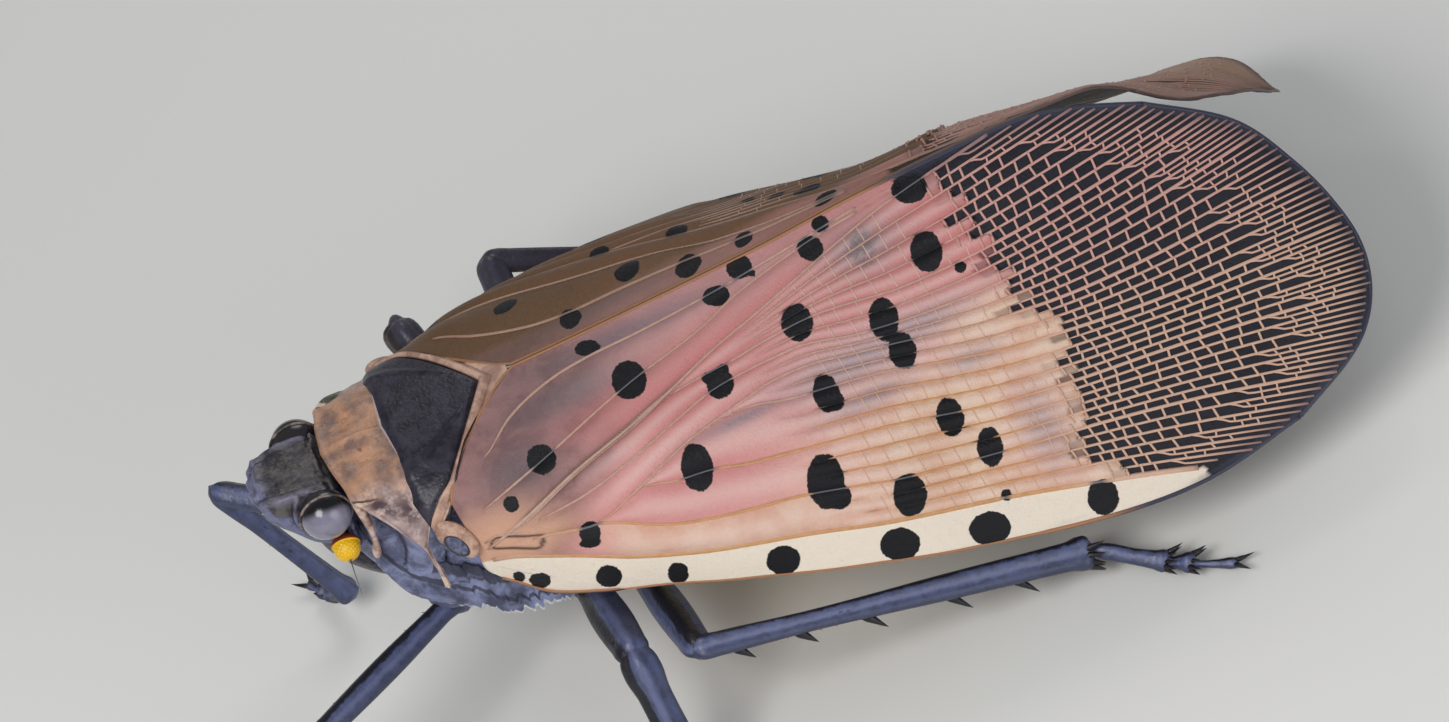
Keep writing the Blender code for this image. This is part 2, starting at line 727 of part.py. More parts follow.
def make_rostrum():
    """The beak, from under the head back between the legs."""
    path = [(-4.85, 0, 5.34), (-4.55, 0, 4.7), (-3.9, 0, 3.85), (-2.9, 0, 3.2), (-1.5, 0, 2.75), (0.2, 0, 2.42),
            (1.7, 0, 2.3), (2.1, 0, 2.27)]
    radii = [0.26, 0.34, 0.32, 0.3, 0.28, 0.27, 0.24, 0.08]
    points, faces = loft(limb(path, radii))
    make_object("rostrum", points, faces, "rostrum")


def centre_on_origin():
    """Moves every piece so that the origin is under the middle of the box, on the floor."""
    pieces = [piece for piece in bpy.data.objects if piece.type == "MESH"]
    corners = [vert.co for piece in pieces for vert in piece.data.vertices]
    middle_x = (min(p.x for p in corners) + max(p.x for p in corners)) / 2
    middle_y = (min(p.y for p in corners) + max(p.y for p in corners)) / 2
    lowest = min(p.z for p in corners)
    for piece in pieces:
        for vert in piece.data.vertices:
            vert.co -= Vector((middle_x, middle_y, lowest))


clear_scene()
make_head()
make_rostrum()
make_pronotum()
make_mesonotum()
body_piece("thorax", THORAX_STATIONS, 10, 18, THORAX_POWER, "thorax", THORAX_FLARE)
body_piece("abdomen", ABDOMEN_STATIONS, 12, 16, 2.1, "abdomen", 0.0)
for hand, direction in (("left", -1), ("right", 1)):
    make_eye(f"eye_{hand}", direction)
    make_antenna(f"antenna_{hand}", direction)
    make_tegula(f"tegula_{hand}", direction)
    make_forewing(f"forewing_{hand}", direction)
    make_hindwing(f"hindwing_{hand}", direction)
make_legs()
centre_on_origin()
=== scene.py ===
import math
import random

import bmesh
import bpy
import numpy as np
from mathutils import Matrix, Vector


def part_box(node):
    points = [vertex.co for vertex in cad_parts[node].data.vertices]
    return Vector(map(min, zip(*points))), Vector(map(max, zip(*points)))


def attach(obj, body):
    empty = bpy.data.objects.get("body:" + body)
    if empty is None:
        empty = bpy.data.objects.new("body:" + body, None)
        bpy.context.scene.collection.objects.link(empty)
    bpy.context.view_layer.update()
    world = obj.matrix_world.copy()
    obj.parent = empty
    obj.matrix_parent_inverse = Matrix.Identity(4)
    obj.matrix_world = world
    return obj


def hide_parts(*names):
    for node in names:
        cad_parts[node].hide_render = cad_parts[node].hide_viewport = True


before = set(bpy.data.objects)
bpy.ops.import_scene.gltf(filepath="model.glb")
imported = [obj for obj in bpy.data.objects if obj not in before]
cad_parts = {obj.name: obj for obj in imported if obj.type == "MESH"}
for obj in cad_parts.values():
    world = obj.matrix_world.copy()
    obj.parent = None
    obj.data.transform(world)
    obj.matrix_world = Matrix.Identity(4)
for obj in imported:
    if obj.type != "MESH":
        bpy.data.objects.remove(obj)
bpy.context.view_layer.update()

# Thorax and abdomen
# One skin from the neck to the tail: a waxy blue-grey thorax, and a yellow abdomen with black
# bands. It is shaped over ribs that are broad below, and plates, legs and wings are set on it.
# Measures are in millimetres from the tip of the scutellum.
MM = 0.001
head_low, head_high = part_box("head")
HEAD_FRONT = -6.12
BODY_ZERO = np.array((head_low.x - HEAD_FRONT * MM, (head_low.y + head_high.y) / 2, 0.0))
TRUNK_X = (-4.85, -4.6, -4.3, -3.75, -2.9, -1.9, -0.9, 0.3, 1.0, 2.4, 4.2, 6.0, 7.6, 8.8, 9.4, 9.62)
TRUNK_HALF_WIDTH = (0.7, 0.95, 1.3, 1.62, 1.95, 2.35, 2.6, 2.5, 2.25, 2.3, 2.45, 2.35, 1.95, 1.3, 0.62, 0.0)
TRUNK_TOP = (6.8, 6.9, 6.9, 7.0, 7.0, 6.95, 6.9, 6.7, 6.45, 6.3, 6.3, 6.2, 5.95, 5.5, 5.0, 4.55)
TRUNK_BOTTOM = (5.9, 5.7, 5.3, 4.5, 4.18, 3.76, 3.42, 3.24, 3.2, 3.05, 2.88, 2.98, 3.22, 3.62, 4.1, 4.55)
TRUNK_POWER = (2.4, 2.8, 3.2, 3.2, 3.2, 3.2, 3.2, 3.1, 2.8, 2.3, 2.1, 2.1, 2.1, 2.1, 2.1, 2.1)
TRUNK_FLARE = (0.1, 0.2, 0.34, 0.34, 0.34, 0.34, 0.34, 0.28, 0.15, 0.03, 0.0, 0.0, 0.0, 0.0, 0.0, 0.0)
ABDOMEN_START = 1.15
SEGMENT_LENGTH = 1.18


def through(marks, values, at):
    """Reads a smooth curve, given by values at some marks, at other places."""
    marks, values = np.asarray(marks, float), np.asarray(values, float)
    at = np.asarray(at, float)
    slopes = np.empty_like(values)
    slopes[1:-1] = (values[2:] - values[:-2]) / (marks[2:] - marks[:-2])
    slopes[0] = (values[1] - values[0]) / (marks[1] - marks[0])
    slopes[-1] = (values[-1] - values[-2]) / (marks[-1] - marks[-2])
    i = np.clip(np.searchsorted(marks, at) - 1, 0, len(marks) - 2)
    step = marks[i + 1] - marks[i]
    t = np.clip((at - marks[i]) / step, 0.0, 1.0)
    ease = t * t * (3 - 2 * t)
    bend = step * slopes[i] * t * (1 - t) ** 2 - step * slopes[i + 1] * t * t * (1 - t)
    return values[i] + (values[i + 1] - values[i]) * ease + bend


def ramp(low, high, at):
    """0 below low, 1 above high, eased between."""
    t = np.clip((np.asarray(at, float) - low) / (high - low), 0.0, 1.0)
    return t * t * (3 - 2 * t)


def heap(points, centre, radius):
    """A soft mound of height 1 at the centre, for moving the points near it."""
    radius = np.asarray(radius, float)
    away = ((points - np.asarray(centre, float)) / radius) ** 2
    return np.exp(-away.sum(axis=1))


def read_points(piece):
    co = np.empty(len(piece.data.vertices) * 3)
    piece.data.vertices.foreach_get("co", co)
    return co.reshape(-1, 3)


def write_points(piece, points):
    piece.data.vertices.foreach_set("co", np.ascontiguousarray(points, float).ravel())
    piece.data.update()


def body_points(piece):
    """The points of a piece in body millimetres."""
    return (read_points(piece) - BODY_ZERO) / MM


def set_body_points(piece, points):
    write_points(piece, points * MM + BODY_ZERO)


def mark(piece, name, values):
    """Stores one number for each point, for the piece's material."""
    layer = piece.data.attributes.new(name, "FLOAT", "POINT")
    layer.data.foreach_set("value", np.ascontiguousarray(values, np.float32))


def sheet_of(name, columns, rows):
    """A grid of so many columns and rows, with its places across and along from 0 to 1."""
    bpy.ops.object.select_all(action="DESELECT")
    bpy.ops.mesh.primitive_grid_add(x_subdivisions=columns, y_subdivisions=rows, size=2)
    piece = bpy.context.object
    piece.name = name
    flat = read_points(piece)
    return piece, (flat[:, 0] + 1) / 2, (flat[:, 1] + 1) / 2


def ball_of(name, segments):
    """A ball of radius 1, and its points."""
    bpy.ops.object.select_all(action="DESELECT")
    bpy.ops.mesh.primitive_uv_sphere_add(segments=segments, ring_count=40, radius=1.0)
    piece = bpy.context.object
    piece.name = name
    return piece, read_points(piece)


def piece_of(name, points, faces):
    """A new piece from its points in body millimetres and its faces."""
    mesh = bpy.data.meshes.new(name)
    mesh.from_pydata(points.tolist(), [], faces)
    piece = bpy.data.objects.new(name, mesh)
    bpy.context.scene.collection.objects.link(piece)
    set_body_points(piece, points)
    return piece


def close_seams(piece, merge=True):
    """Merges the points where a rolled grid meets itself, and turns the faces outwards."""
    work = bmesh.new()
    work.from_mesh(piece.data)
    if merge:
        bmesh.ops.remove_doubles(work, verts=work.verts, dist=2e-7)
    bmesh.ops.recalc_face_normals(work, faces=work.faces)
    work.to_mesh(piece.data)
    work.free()


def use_modifier(piece, kind, **settings):
    """Adds a modifier with these settings and applies it."""
    bpy.ops.object.select_all(action="DESELECT")
    bpy.context.view_layer.objects.active = piece
    piece.select_set(True)
    modifier = piece.modifiers.new(kind, kind)
    for key, value in settings.items():
        setattr(modifier, key, value)
    bpy.ops.object.modifier_apply(modifier=modifier.name)


def fit(piece, material, nodes=()):
    """Shades a piece, gives it its material and sets it on the body in place of its CAD nodes."""
    piece.data.materials.clear()
    piece.data.materials.append(material)
    piece.data.shade_smooth()
    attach(piece, "root")
    if nodes:
        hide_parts(*nodes)
    return piece


def new_material(name, roughness):
    """An empty material, with its node tree and its one shader."""
    material = bpy.data.materials.new(name)
    material.use_nodes = True
    shader = material.node_tree.nodes["Principled BSDF"]
    shader.inputs["Roughness"].default_value = roughness
    return material, material.node_tree, shader


def add_node(tree, kind, values=None, **settings):
    """A node with its settings, its values by socket name and its links from other sockets."""
    node = tree.nodes.new(kind)
    for key, value in settings.items():
        setattr(node, key, value)
    for key, value in (values or {}).items():
        if isinstance(value, bpy.types.NodeSocket):
            tree.links.new(value, node.inputs[key])
        else:
            node.inputs[key].default_value = value
    return node


def blend(tree, factor, first, second, mode="MIX"):
    """Mixes two colours; each may be a colour or the socket of another node."""
    node = tree.nodes.new("ShaderNodeMix")
    node.data_type = "RGBA"
    node.blend_type = mode
    for key, value in ((0, factor), (6, first), (7, second)):
        if isinstance(value, bpy.types.NodeSocket):
            tree.links.new(value, node.inputs[key])
        elif key:
            node.inputs[key].default_value = (*value, 1.0)
        else:
            node.inputs[key].default_value = value
    return node.outputs[2]


def sums(tree, operation, first, second=0.5, clamp=False):
    """One sum on two numbers or sockets."""
    node = tree.nodes.new("ShaderNodeMath")
    node.operation = operation
    node.use_clamp = clamp
    for key, value in enumerate((first, second)):
        if isinstance(value, bpy.types.NodeSocket):
            tree.links.new(value, node.inputs[key])
        else:
            node.inputs[key].default_value = value
    return node.outputs[0]


def times(tree, first, second, clamp=False):
    return sums(tree, "MULTIPLY", first, second, clamp)


def plus(tree, first, second, clamp=False):
    return sums(tree, "ADD", first, second, clamp)


def step_up(tree, value, low, high):
    """0 below low and 1 above high, for a socket."""
    node = add_node(tree, "ShaderNodeMapRange", {"Value": value, "From Min": low, "From Max": high},
                    interpolation_type="SMOOTHSTEP")
    return node.outputs["Result"]


def stored(tree, name):
    """The number that a piece keeps for each point."""
    return add_node(tree, "ShaderNodeAttribute", attribute_name=name).outputs["Fac"]


def grain(tree, scale, detail=3.0, roughness=0.55, distortion=0.0):
    """Noise over the piece. The scale is in patches for each millimetre."""
    place = add_node(tree, "ShaderNodeTexCoord").outputs["Object"]
    node = add_node(tree, "ShaderNodeTexNoise", {
        "Vector": place, "Scale": scale / MM, "Detail": detail, "Roughness": roughness,
        "Distortion": distortion})
    return node.outputs["Fac"]


def relief(tree, shader, height, depth, strength=1.0):
    """Raises the surface by a height from 0 to 1, at a depth in millimetres."""
    bump = add_node(tree, "ShaderNodeBump",
                    {"Height": height, "Distance": depth * MM, "Strength": strength})
    tree.links.new(bump.outputs["Normal"], shader.inputs["Normal"])
    return bump


def cuticle_group():
    """Insect skin: fine pits and wrinkles as a height, blotches, and worn spots for the gloss."""
    tree = bpy.data.node_groups.new("cuticle", "ShaderNodeTree")
    for name, low, high in (("Pits per mm", 1.0, 200.0), ("Blotches per mm", 0.1, 20.0)):
        socket = tree.interface.new_socket(name=name, in_out="INPUT", socket_type="NodeSocketFloat")
        socket.min_value, socket.max_value = low, high
    for name in ("Height", "Blotch", "Roughness"):
        tree.interface.new_socket(name=name, in_out="OUTPUT", socket_type="NodeSocketFloat")
    entry = tree.nodes.new("NodeGroupInput")
    exit_node = tree.nodes.new("NodeGroupOutput")
    place = add_node(tree, "ShaderNodeTexCoord").outputs["Object"]
    fine_scale = times(tree, entry.outputs[0], 1000.0)
    wide_scale = times(tree, entry.outputs[1], 1000.0)
    pits = add_node(tree, "ShaderNodeTexVoronoi", {"Vector": place, "Scale": fine_scale},
                    feature="SMOOTH_F1")
    wrinkles = add_node(tree, "ShaderNodeTexNoise", {"Vector": place, "Scale": fine_scale, "Detail": 4.0})
    height = plus(tree, times(tree, pits.outputs["Distance"], 0.6), wrinkles.outputs["Fac"])
    blotch = add_node(tree, "ShaderNodeTexNoise", {
        "Vector": place, "Scale": wide_scale, "Detail": 5.0, "Roughness": 0.62, "Distortion": 0.6})
    gloss = plus(tree, times(tree, blotch.outputs["Fac"], 0.35), times(tree, wrinkles.outputs["Fac"], 0.2))
    tree.links.new(height, exit_node.inputs["Height"])
    tree.links.new(step_up(tree, blotch.outputs["Fac"], 0.36, 0.64), exit_node.inputs["Blotch"])
    tree.links.new(gloss, exit_node.inputs["Roughness"])
    return tree


CUTICLE = cuticle_group()


def cuticle(tree, pits, blotches):
    """The insect-skin group with its own scales."""
    return add_node(tree, "ShaderNodeGroup", {"Pits per mm": pits, "Blotches per mm": blotches},
                    node_tree=CUTICLE)


def cover(tree, shader, colour, skin, depth):
    """Gives a shader its colour, with the height and gloss of the insect-skin group."""
    tree.links.new(colour, shader.inputs["Base Color"])
    relief(tree, shader, skin.outputs["Height"], depth)
    gloss = plus(tree, skin.outputs["Roughness"], 0.12)
    tree.links.new(gloss, shader.inputs["Roughness"])


def trunk_material():
    material, tree, shader = new_material("trunk", 0.5)
    skin = cuticle(tree, 14.0, 2.2)
    slate = blend(tree, skin.outputs["Blotch"], (0.09, 0.1, 0.18), (0.25, 0.28, 0.46))
    wax = times(tree, stored(tree, "wax"), step_up(tree, grain(tree, 5.0, 6.0, 0.7), 0.36, 0.56))
    slate = blend(tree, wax, slate, (0.66, 0.65, 0.68))
    yellow = blend(tree, skin.outputs["Blotch"], (0.75, 0.42, 0.03), (0.86, 0.6, 0.1))
    banded = blend(tree, step_up(tree, stored(tree, "band"), 0.45, 0.55), yellow, (0.018, 0.016, 0.02))
    colour = blend(tree, step_up(tree, stored(tree, "belly"), 0.4, 0.6), slate, banded)
    dark = step_up(tree, stored(tree, "groove"), 0.2, 0.9)
    colour = blend(tree, dark, colour, (0.012, 0.012, 0.02))
    cover(tree, shader, colour, skin, 0.02)
    return material


def trunk_ring(x, turn):
    """A point of the trunk's surface at x, turned round from the right side over the back."""
    cosine, sine = np.cos(turn), np.sin(turn)
    top, bottom = through(TRUNK_X, TRUNK_TOP, x), through(TRUNK_X, TRUNK_BOTTOM, x)
    power = through(TRUNK_X, TRUNK_POWER, x)
    flare = through(TRUNK_X, TRUNK_FLARE, x)
    y = through(TRUNK_X, TRUNK_HALF_WIDTH, x) * np.sign(cosine) * np.abs(cosine) ** (2 / power)
    z = (top - bottom) / 2 * np.sign(sine) * np.abs(sine) ** (2 / power)
    return np.column_stack((x, y * (1 - flare * sine), (top + bottom) / 2 + z))


trunk, across, along = sheet_of("trunk", 128, 240)
trunk_x = TRUNK_X[0] + (TRUNK_X[-1] - TRUNK_X[0]) * along
turn = 2 * math.pi * across
points = trunk_ring(trunk_x, turn)
outward = points - np.column_stack((trunk_x, 0 * trunk_x, 5.0 + 0 * trunk_x))
outward[:, 0] = 0
outward /= np.maximum(np.linalg.norm(outward, axis=1), 1e-6)[:, None]
# The abdomen's segments overlap like tiles, and grooves part the side plates of the thorax.
segment = np.clip((trunk_x - ABDOMEN_START) / SEGMENT_LENGTH, 0.0, 7.0)
share = segment % 1.0
belly = ramp(ABDOMEN_START - 0.05, ABDOMEN_START + 0.05, trunk_x)
taper = np.clip((9.5 - trunk_x) / 1.5, 0.0, 1.0)
tile = 0.1 * share ** 1.5 - 0.1 * ramp(0.93, 1.0, share)
side_plates = np.zeros_like(trunk_x)
for place, lean, width in ((-3.9, 0.25, 0.05), (-3.05, 0.3, 0.06), (-1.75, 0.42, 0.06), (-0.55, 0.38, 0.06),
                           (0.55, 0.3, 0.06)):
    line = place + lean * (points[:, 2] - 5.0) + 0.1 * np.sin(points[:, 2] * 3.1 + place)
    side_plates = np.maximum(side_plates, np.exp(-(((trunk_x - line) / width) ** 2)))
low_line = np.exp(-(((points[:, 2] - 4.75 - 0.12 * np.sin(trunk_x * 2.3)) / 0.07) ** 2))
low_line *= np.abs(points[:, 1]) > 1.0
grooves = np.maximum(side_plates, low_line) * (1 - belly) * ramp(-4.4, -4.1, trunk_x)
swell = 0.06 * np.sin(trunk_x * 5.3 + 1.0) * np.sin(points[:, 2] * 2.6) * (1 - belly)
points += outward * (tile * belly * taper - 0.09 * grooves + swell * taper)[:, None]
wax = ramp(0.45, 0.95, -np.sin(turn)) * ramp(0.2, 0.5, np.abs(np.cos(turn))) * (1 - belly)
set_body_points(trunk, points)
mark(trunk, "belly", belly)
band = ramp(0.0, 0.12, share) - ramp(0.45, 0.6, share)
mark(trunk, "band", band * ramp(-0.4, 0.2, np.sin(turn) + 0.15))
mark(trunk, "groove", grooves * 0.9)
mark(trunk, "wax", wax)
close_seams(trunk)
fit(trunk, trunk_material(), ("thorax", "abdomen"))


# Head capsule
# One hard, dark shell: a hollowed crown between two keels, a pair of lobes at its front edge, a
# bluish face with keels below, and a low rim behind the eyes.
HEAD_X = (-6.2, -6.12, -6.02, -5.75, -5.35, -4.95, -4.6, -4.42, -4.36)
HEAD_HALF_WIDTH = (0.0, 0.36, 0.6, 0.86, 1.08, 1.2, 1.24, 1.12, 0.0)
HEAD_TOP = (7.66, 7.92, 8.06, 8.18, 8.2, 8.14, 8.06, 7.8, 6.9)
HEAD_BOTTOM = (7.66, 7.32, 7.08, 6.72, 6.26, 5.92, 5.74, 5.9, 6.9)
EYE_CENTRE = (-4.85, 1.2, 7.5)
EYE_RADIUS = 0.6
BULB_CENTRE = (-4.76, 1.52, 6.57)
BULB_RADIUS = 0.3


def ridge(distance, width):
    """The rounded top of a keel, 1 on its line."""
    return np.exp(-((distance / width) ** 2))


def head_material():
    material, tree, shader = new_material("head", 0.4)
    skin = cuticle(tree, 16.0, 3.0)
    patches = step_up(tree, grain(tree, 2.6, 5.0, 0.6), 0.4, 0.6)
    crown = blend(tree, patches, (0.008, 0.007, 0.009), (0.1, 0.088, 0.085))
    crown = blend(tree, times(tree, skin.outputs["Blotch"], 0.3), crown, (0.13, 0.12, 0.15))
    face = blend(tree, skin.outputs["Blotch"], (0.05, 0.055, 0.11), (0.16, 0.175, 0.33))
    colour = blend(tree, step_up(tree, stored(tree, "face"), 0.35, 0.65), crown, face)
    # Pale keels, lobes and eye rims: partly their own pale colour, partly a painted highlight on the raised
    # edges.
    pale = times(tree, stored(tree, "keel"), plus(tree, skin.outputs["Blotch"], 0.25), True)
    colour = blend(tree, pale, colour, (0.21, 0.2, 0.3))
    colour = blend(tree, step_up(tree, stored(tree, "crack"), 0.25, 0.8), colour, (0.008, 0.007, 0.01))
    cover(tree, shader, colour, skin, 0.02)
    return material


head, across, along = sheet_of("head", 144, 120)
x = HEAD_X[0] + (HEAD_X[-1] - HEAD_X[0]) * (0.5 - 0.5 * np.cos(math.pi * along))
turn = 2 * math.pi * across
cosine, sine = np.cos(turn), np.sin(turn)
top, bottom = through(HEAD_X, HEAD_TOP, x), through(HEAD_X, HEAD_BOTTOM, x)
half = np.maximum(through(HEAD_X, HEAD_HALF_WIDTH, x), 0.0)
y = half * np.sign(cosine) * np.abs(cosine) ** 0.8
z = (top + bottom) / 2 + (top - bottom) / 2 * np.sign(sine) * np.abs(sine) ** 0.8
points = np.column_stack((x, y * (1 + 0.1 * sine), z))
outward = points - np.array((-5.0, 0.0, 7.0))
outward /= np.linalg.norm(outward, axis=1)[:, None]
side_y = np.abs(points[:, 1])
flat = np.column_stack((points[:, 0], side_y, points[:, 2]))
keel_y = through((-6.1, -5.7, -5.2, -4.7, -4.4), (0.5, 0.72, 0.8, 0.86, 0.88), x)
on_top = ramp(7.75, 7.95, points[:, 2])
side_keel = ridge(side_y - keel_y, 0.07) * on_top
hollow = (1 - ramp(0.45, 0.8, side_y / keel_y)) * on_top * ramp(-5.95, -5.65, x)
front_keel = ridge(np.hypot(x + 5.93 - 0.33 * side_y ** 2, points[:, 2] - 8.08), 0.09) * (side_y < 0.66)
mid_keel = ridge(side_y, 0.05) * on_top * 0.4
lobes = heap(flat, (-6.1, 0.27, 7.84), (0.12, 0.17, 0.18))
lobes += 0.7 * heap(flat, (-6.0, 0.56, 7.72), (0.12, 0.11, 0.16))
lobes += 0.8 * heap(flat, (-5.86, 0.7, 8.02), (0.12, 0.09, 0.1))
in_front = (1 - ramp(-5.6, -5.25, x)) * (1 - ramp(7.3, 7.6, points[:, 2]))
face_keels = (ridge(side_y - 0.3 - 0.12 * (7.8 - points[:, 2]), 0.05) + ridge(side_y, 0.05)) * in_front
from_eye = np.hypot(x - EYE_CENTRE[0], points[:, 2] - EYE_CENTRE[2])
on_side = ramp(0.75, 0.95, side_y)
eye_ring = ridge(from_eye - EYE_RADIUS - 0.03, 0.06) * on_side
flange_x = through((5.8, 6.6, 7.4, 8.1), (-4.5, -4.47, -4.42, -4.44), points[:, 2])
flange = ridge(x - flange_x, 0.08) * ramp(0.5, 0.8, side_y)
cheek = heap(flat, (-5.25, 0.95, 6.75), (0.28, 0.3, 0.35))
nose = heap(flat, (-5.2, 0.0, 6.1), (0.3, 0.35, 0.3))
crack = 0.7 * ridge(side_y - keel_y + 0.11, 0.03) * on_top
crack += 0.8 * ridge(from_eye - EYE_RADIUS - 0.12, 0.03) * on_side
crack += ridge(x - flange_x + 0.14, 0.035) * ramp(0.5, 0.8, side_y)
lift = 0.1 * side_keel - 0.13 * hollow + 0.07 * front_keel + 0.04 * mid_keel + 0.13 * lobes
lift += 0.05 * face_keels + 0.09 * eye_ring + 0.1 * flange + 0.06 * cheek + 0.06 * nose - 0.05 * crack
lift += 0.03 * np.sin(9 * x + 3) * np.sin(8 * points[:, 1]) * on_top
points += outward * (lift * ramp(0.0, 0.04, along) * (1 - ramp(0.97, 1.0, along)))[:, None]
set_body_points(head, points)
mark(head, "face", np.clip(1 - ramp(7.45, 7.8, z) * ramp(-6.05, -5.85, x) + lobes, 0, 1))
# The keel mark: where the pale colour and the painted highlight of the raised edges lie.
mark(head, "keel", np.clip(side_keel * 0.8 + front_keel + lobes + eye_ring * 0.6 + 0.6 * face_keels, 0, 1))
mark(head, "crack", np.clip(crack, 0, 1))
close_seams(head)
fit(head, head_material(), ("head",))


# Eyes
# Compound eyes of very fine facets, glossy black above and grey-lavender below, each held in a
# thin pale ring.
FACET_PACE = 34.0


def eye_material():
    material, tree, shader = new_material("eye", 0.16)
    place = add_node(tree, "ShaderNodeTexCoord").outputs["Object"]
    facets = add_node(tree, "ShaderNodeTexVoronoi", {"Vector": place, "Scale": FACET_PACE / MM})
    soft = grain(tree, 3.0, 3.0)
    lower = blend(tree, soft, (0.16, 0.155, 0.22), (0.3, 0.285, 0.38))
    clouded = plus(tree, stored(tree, "upper"), times(tree, soft, 0.12))
    dark = step_up(tree, clouded, 0.3, 0.72)
    colour = blend(tree, dark, lower, (0.004, 0.004, 0.006))
    edge = blend(tree, stored(tree, "border"), colour, (0.02, 0.017, 0.02))
    tree.links.new(edge, shader.inputs["Base Color"])
    relief(tree, shader, facets.outputs["Distance"], -0.002)
    shader.inputs["Coat Weight"].default_value = 0.4
    shader.inputs["Coat Roughness"].default_value = 0.12
    return material


def ring_material():
    material, tree, shader = new_material("eye_ring", 0.4)
    blotch = step_up(tree, grain(tree, 4.0, 4.0), 0.4, 0.6)
    colour = blend(tree, blotch, (0.05, 0.038, 0.042), (0.32, 0.24, 0.21))
    tree.links.new(colour, shader.inputs["Base Color"])
    relief(tree, shader, grain(tree, 30.0), 0.01)
    return material


eye_finish, ring_finish = eye_material(), ring_material()
for hand, side in (("left", -1), ("right", 1)):
    eye, ball = ball_of(f"eye_{hand}", 64)
    points = np.array(EYE_CENTRE) * (1, side, 1) + ball * EYE_RADIUS * (0.98, 0.92, 0.98)
    set_body_points(eye, points)
    outer = ball[:, 1] * side
    mark(eye, "upper", 0.5 + 0.8 * (ball[:, 2] - outer - 0.16 + 0.12 * ball[:, 0]))
    mark(eye, "border", 1 - ramp(0.1, 0.3, outer))
    fit(eye, eye_finish, (f"eye_{hand}",))
    bpy.ops.object.select_all(action="DESELECT")
    bpy.ops.mesh.primitive_torus_add(major_segments=64, minor_segments=12, major_radius=EYE_RADIUS,
                                     minor_radius=0.032)
    holder = bpy.context.object
    holder.name = f"eye_ring_{hand}"
    hoop = read_points(holder)
    points = np.column_stack((hoop[:, 0], hoop[:, 2] * side + side * (EYE_CENTRE[1] + 0.04), hoop[:, 1]))
    points += (EYE_CENTRE[0], 0, EYE_CENTRE[2])
    set_body_points(holder, points)
    close_seams(holder)
    fit(holder, ring_finish)


# Antennae
# A short stalk, a bright yellow bulb dotted with rows of pale sense pits and rimmed with
# orange-red, and a fine bristle.
BRISTLE = 0.9
ANTENNA_AXIS = np.array((-0.1, 0.93, -0.3))


def antenna_material():
    material, tree, shader = new_material("antenna", 0.38)
    fine = grain(tree, 9.0, 3.0)
    yellow = blend(tree, fine, (0.84, 0.4, 0.002), (0.93, 0.6, 0.006))
    colour = blend(tree, step_up(tree, stored(tree, "dot"), 0.45, 0.75), yellow, (1.0, 0.76, 0.12))
    colour = blend(tree, step_up(tree, stored(tree, "rim"), 0.3, 0.7), colour, (0.2, 0.035, 0.01))
    colour = blend(tree, stored(tree, "bristle"), colour, (0.03, 0.02, 0.02))
    tree.links.new(colour, shader.inputs["Base Color"])
    relief(tree, shader, fine, 0.01)
    return material


antenna_finish = antenna_material()
PROFILE_AT = (-0.3, -0.29, -0.22, -0.13, -0.09, 0.0, 0.14, 0.24, 0.285, 0.31, 0.36, 0.7, BRISTLE + 0.3)
PROFILE_RADIUS = (0.0, 0.2, 0.29, 0.335, 0.335, 0.3, 0.27, 0.19, 0.1, 0.02, 0.013, 0.008, 0.0)
for hand, side in (("left", -1), ("right", 1)):
    antenna, across, along = sheet_of(f"antenna_{hand}", 84, 110)
    at = np.where(along < 0.8, -0.3 + 0.62 * along / 0.8, 0.32 + (along - 0.8) / 0.2 * (BRISTLE - 0.02))
    radius = np.maximum(np.interp(at, PROFILE_AT, PROFILE_RADIUS), 0.0)
    bulb = np.sqrt(np.maximum(BULB_RADIUS ** 2 - at ** 2, 0.0))
    radius = np.where((at > -0.07) & (at < 0.29), bulb, radius)
    turn = 2 * math.pi * across
    dots = np.clip(np.cos(turn * 14) * np.cos((at + 0.05) * 62), 0, 1) * (at > -0.06) * (at < 0.26)
    radius = radius + 0.012 * dots
    axis = ANTENNA_AXIS * (1, side, 1) / np.linalg.norm(ANTENNA_AXIS)
    first = np.cross(axis, (1.0, 0.0, 0.0))
    first /= np.linalg.norm(first)
    second = np.cross(axis, first)
    droop = np.maximum(at - 0.32, 0) ** 2 * 0.25
    points = np.array(BULB_CENTRE) * (1, side, 1) + axis * at[:, None]
    points += first * (radius * np.cos(turn))[:, None] + second * (radius * np.sin(turn))[:, None]
    points[:, 2] -= droop
    set_body_points(antenna, points)
    mark(antenna, "dot", dots)
    mark(antenna, "rim", 1 - ramp(-0.1, -0.07, at))
    mark(antenna, "bristle", ramp(0.29, 0.32, at))
    close_seams(antenna)
    fit(antenna, antenna_finish, (f"antenna_{hand}",))


# Beak
# A jointed tube of dark cuticle that folds back from under the head between the legs. It is one
# rod along a path, which narrows to its tip.
BEAK_PATH = (
    (-4.95, 0, 5.85), (-4.85, 0, 5.34), (-4.55, 0, 4.7), (-3.9, 0, 3.85), (-2.9, 0, 3.2),
    (-1.5, 0, 2.75), (0.2, 0, 2.42), (1.7, 0, 2.3), (2.1, 0, 2.27),
)
BEAK_RADII = (0.36, 0.34, 0.33, 0.27, 0.24, 0.2, 0.18, 0.13, 0.0)


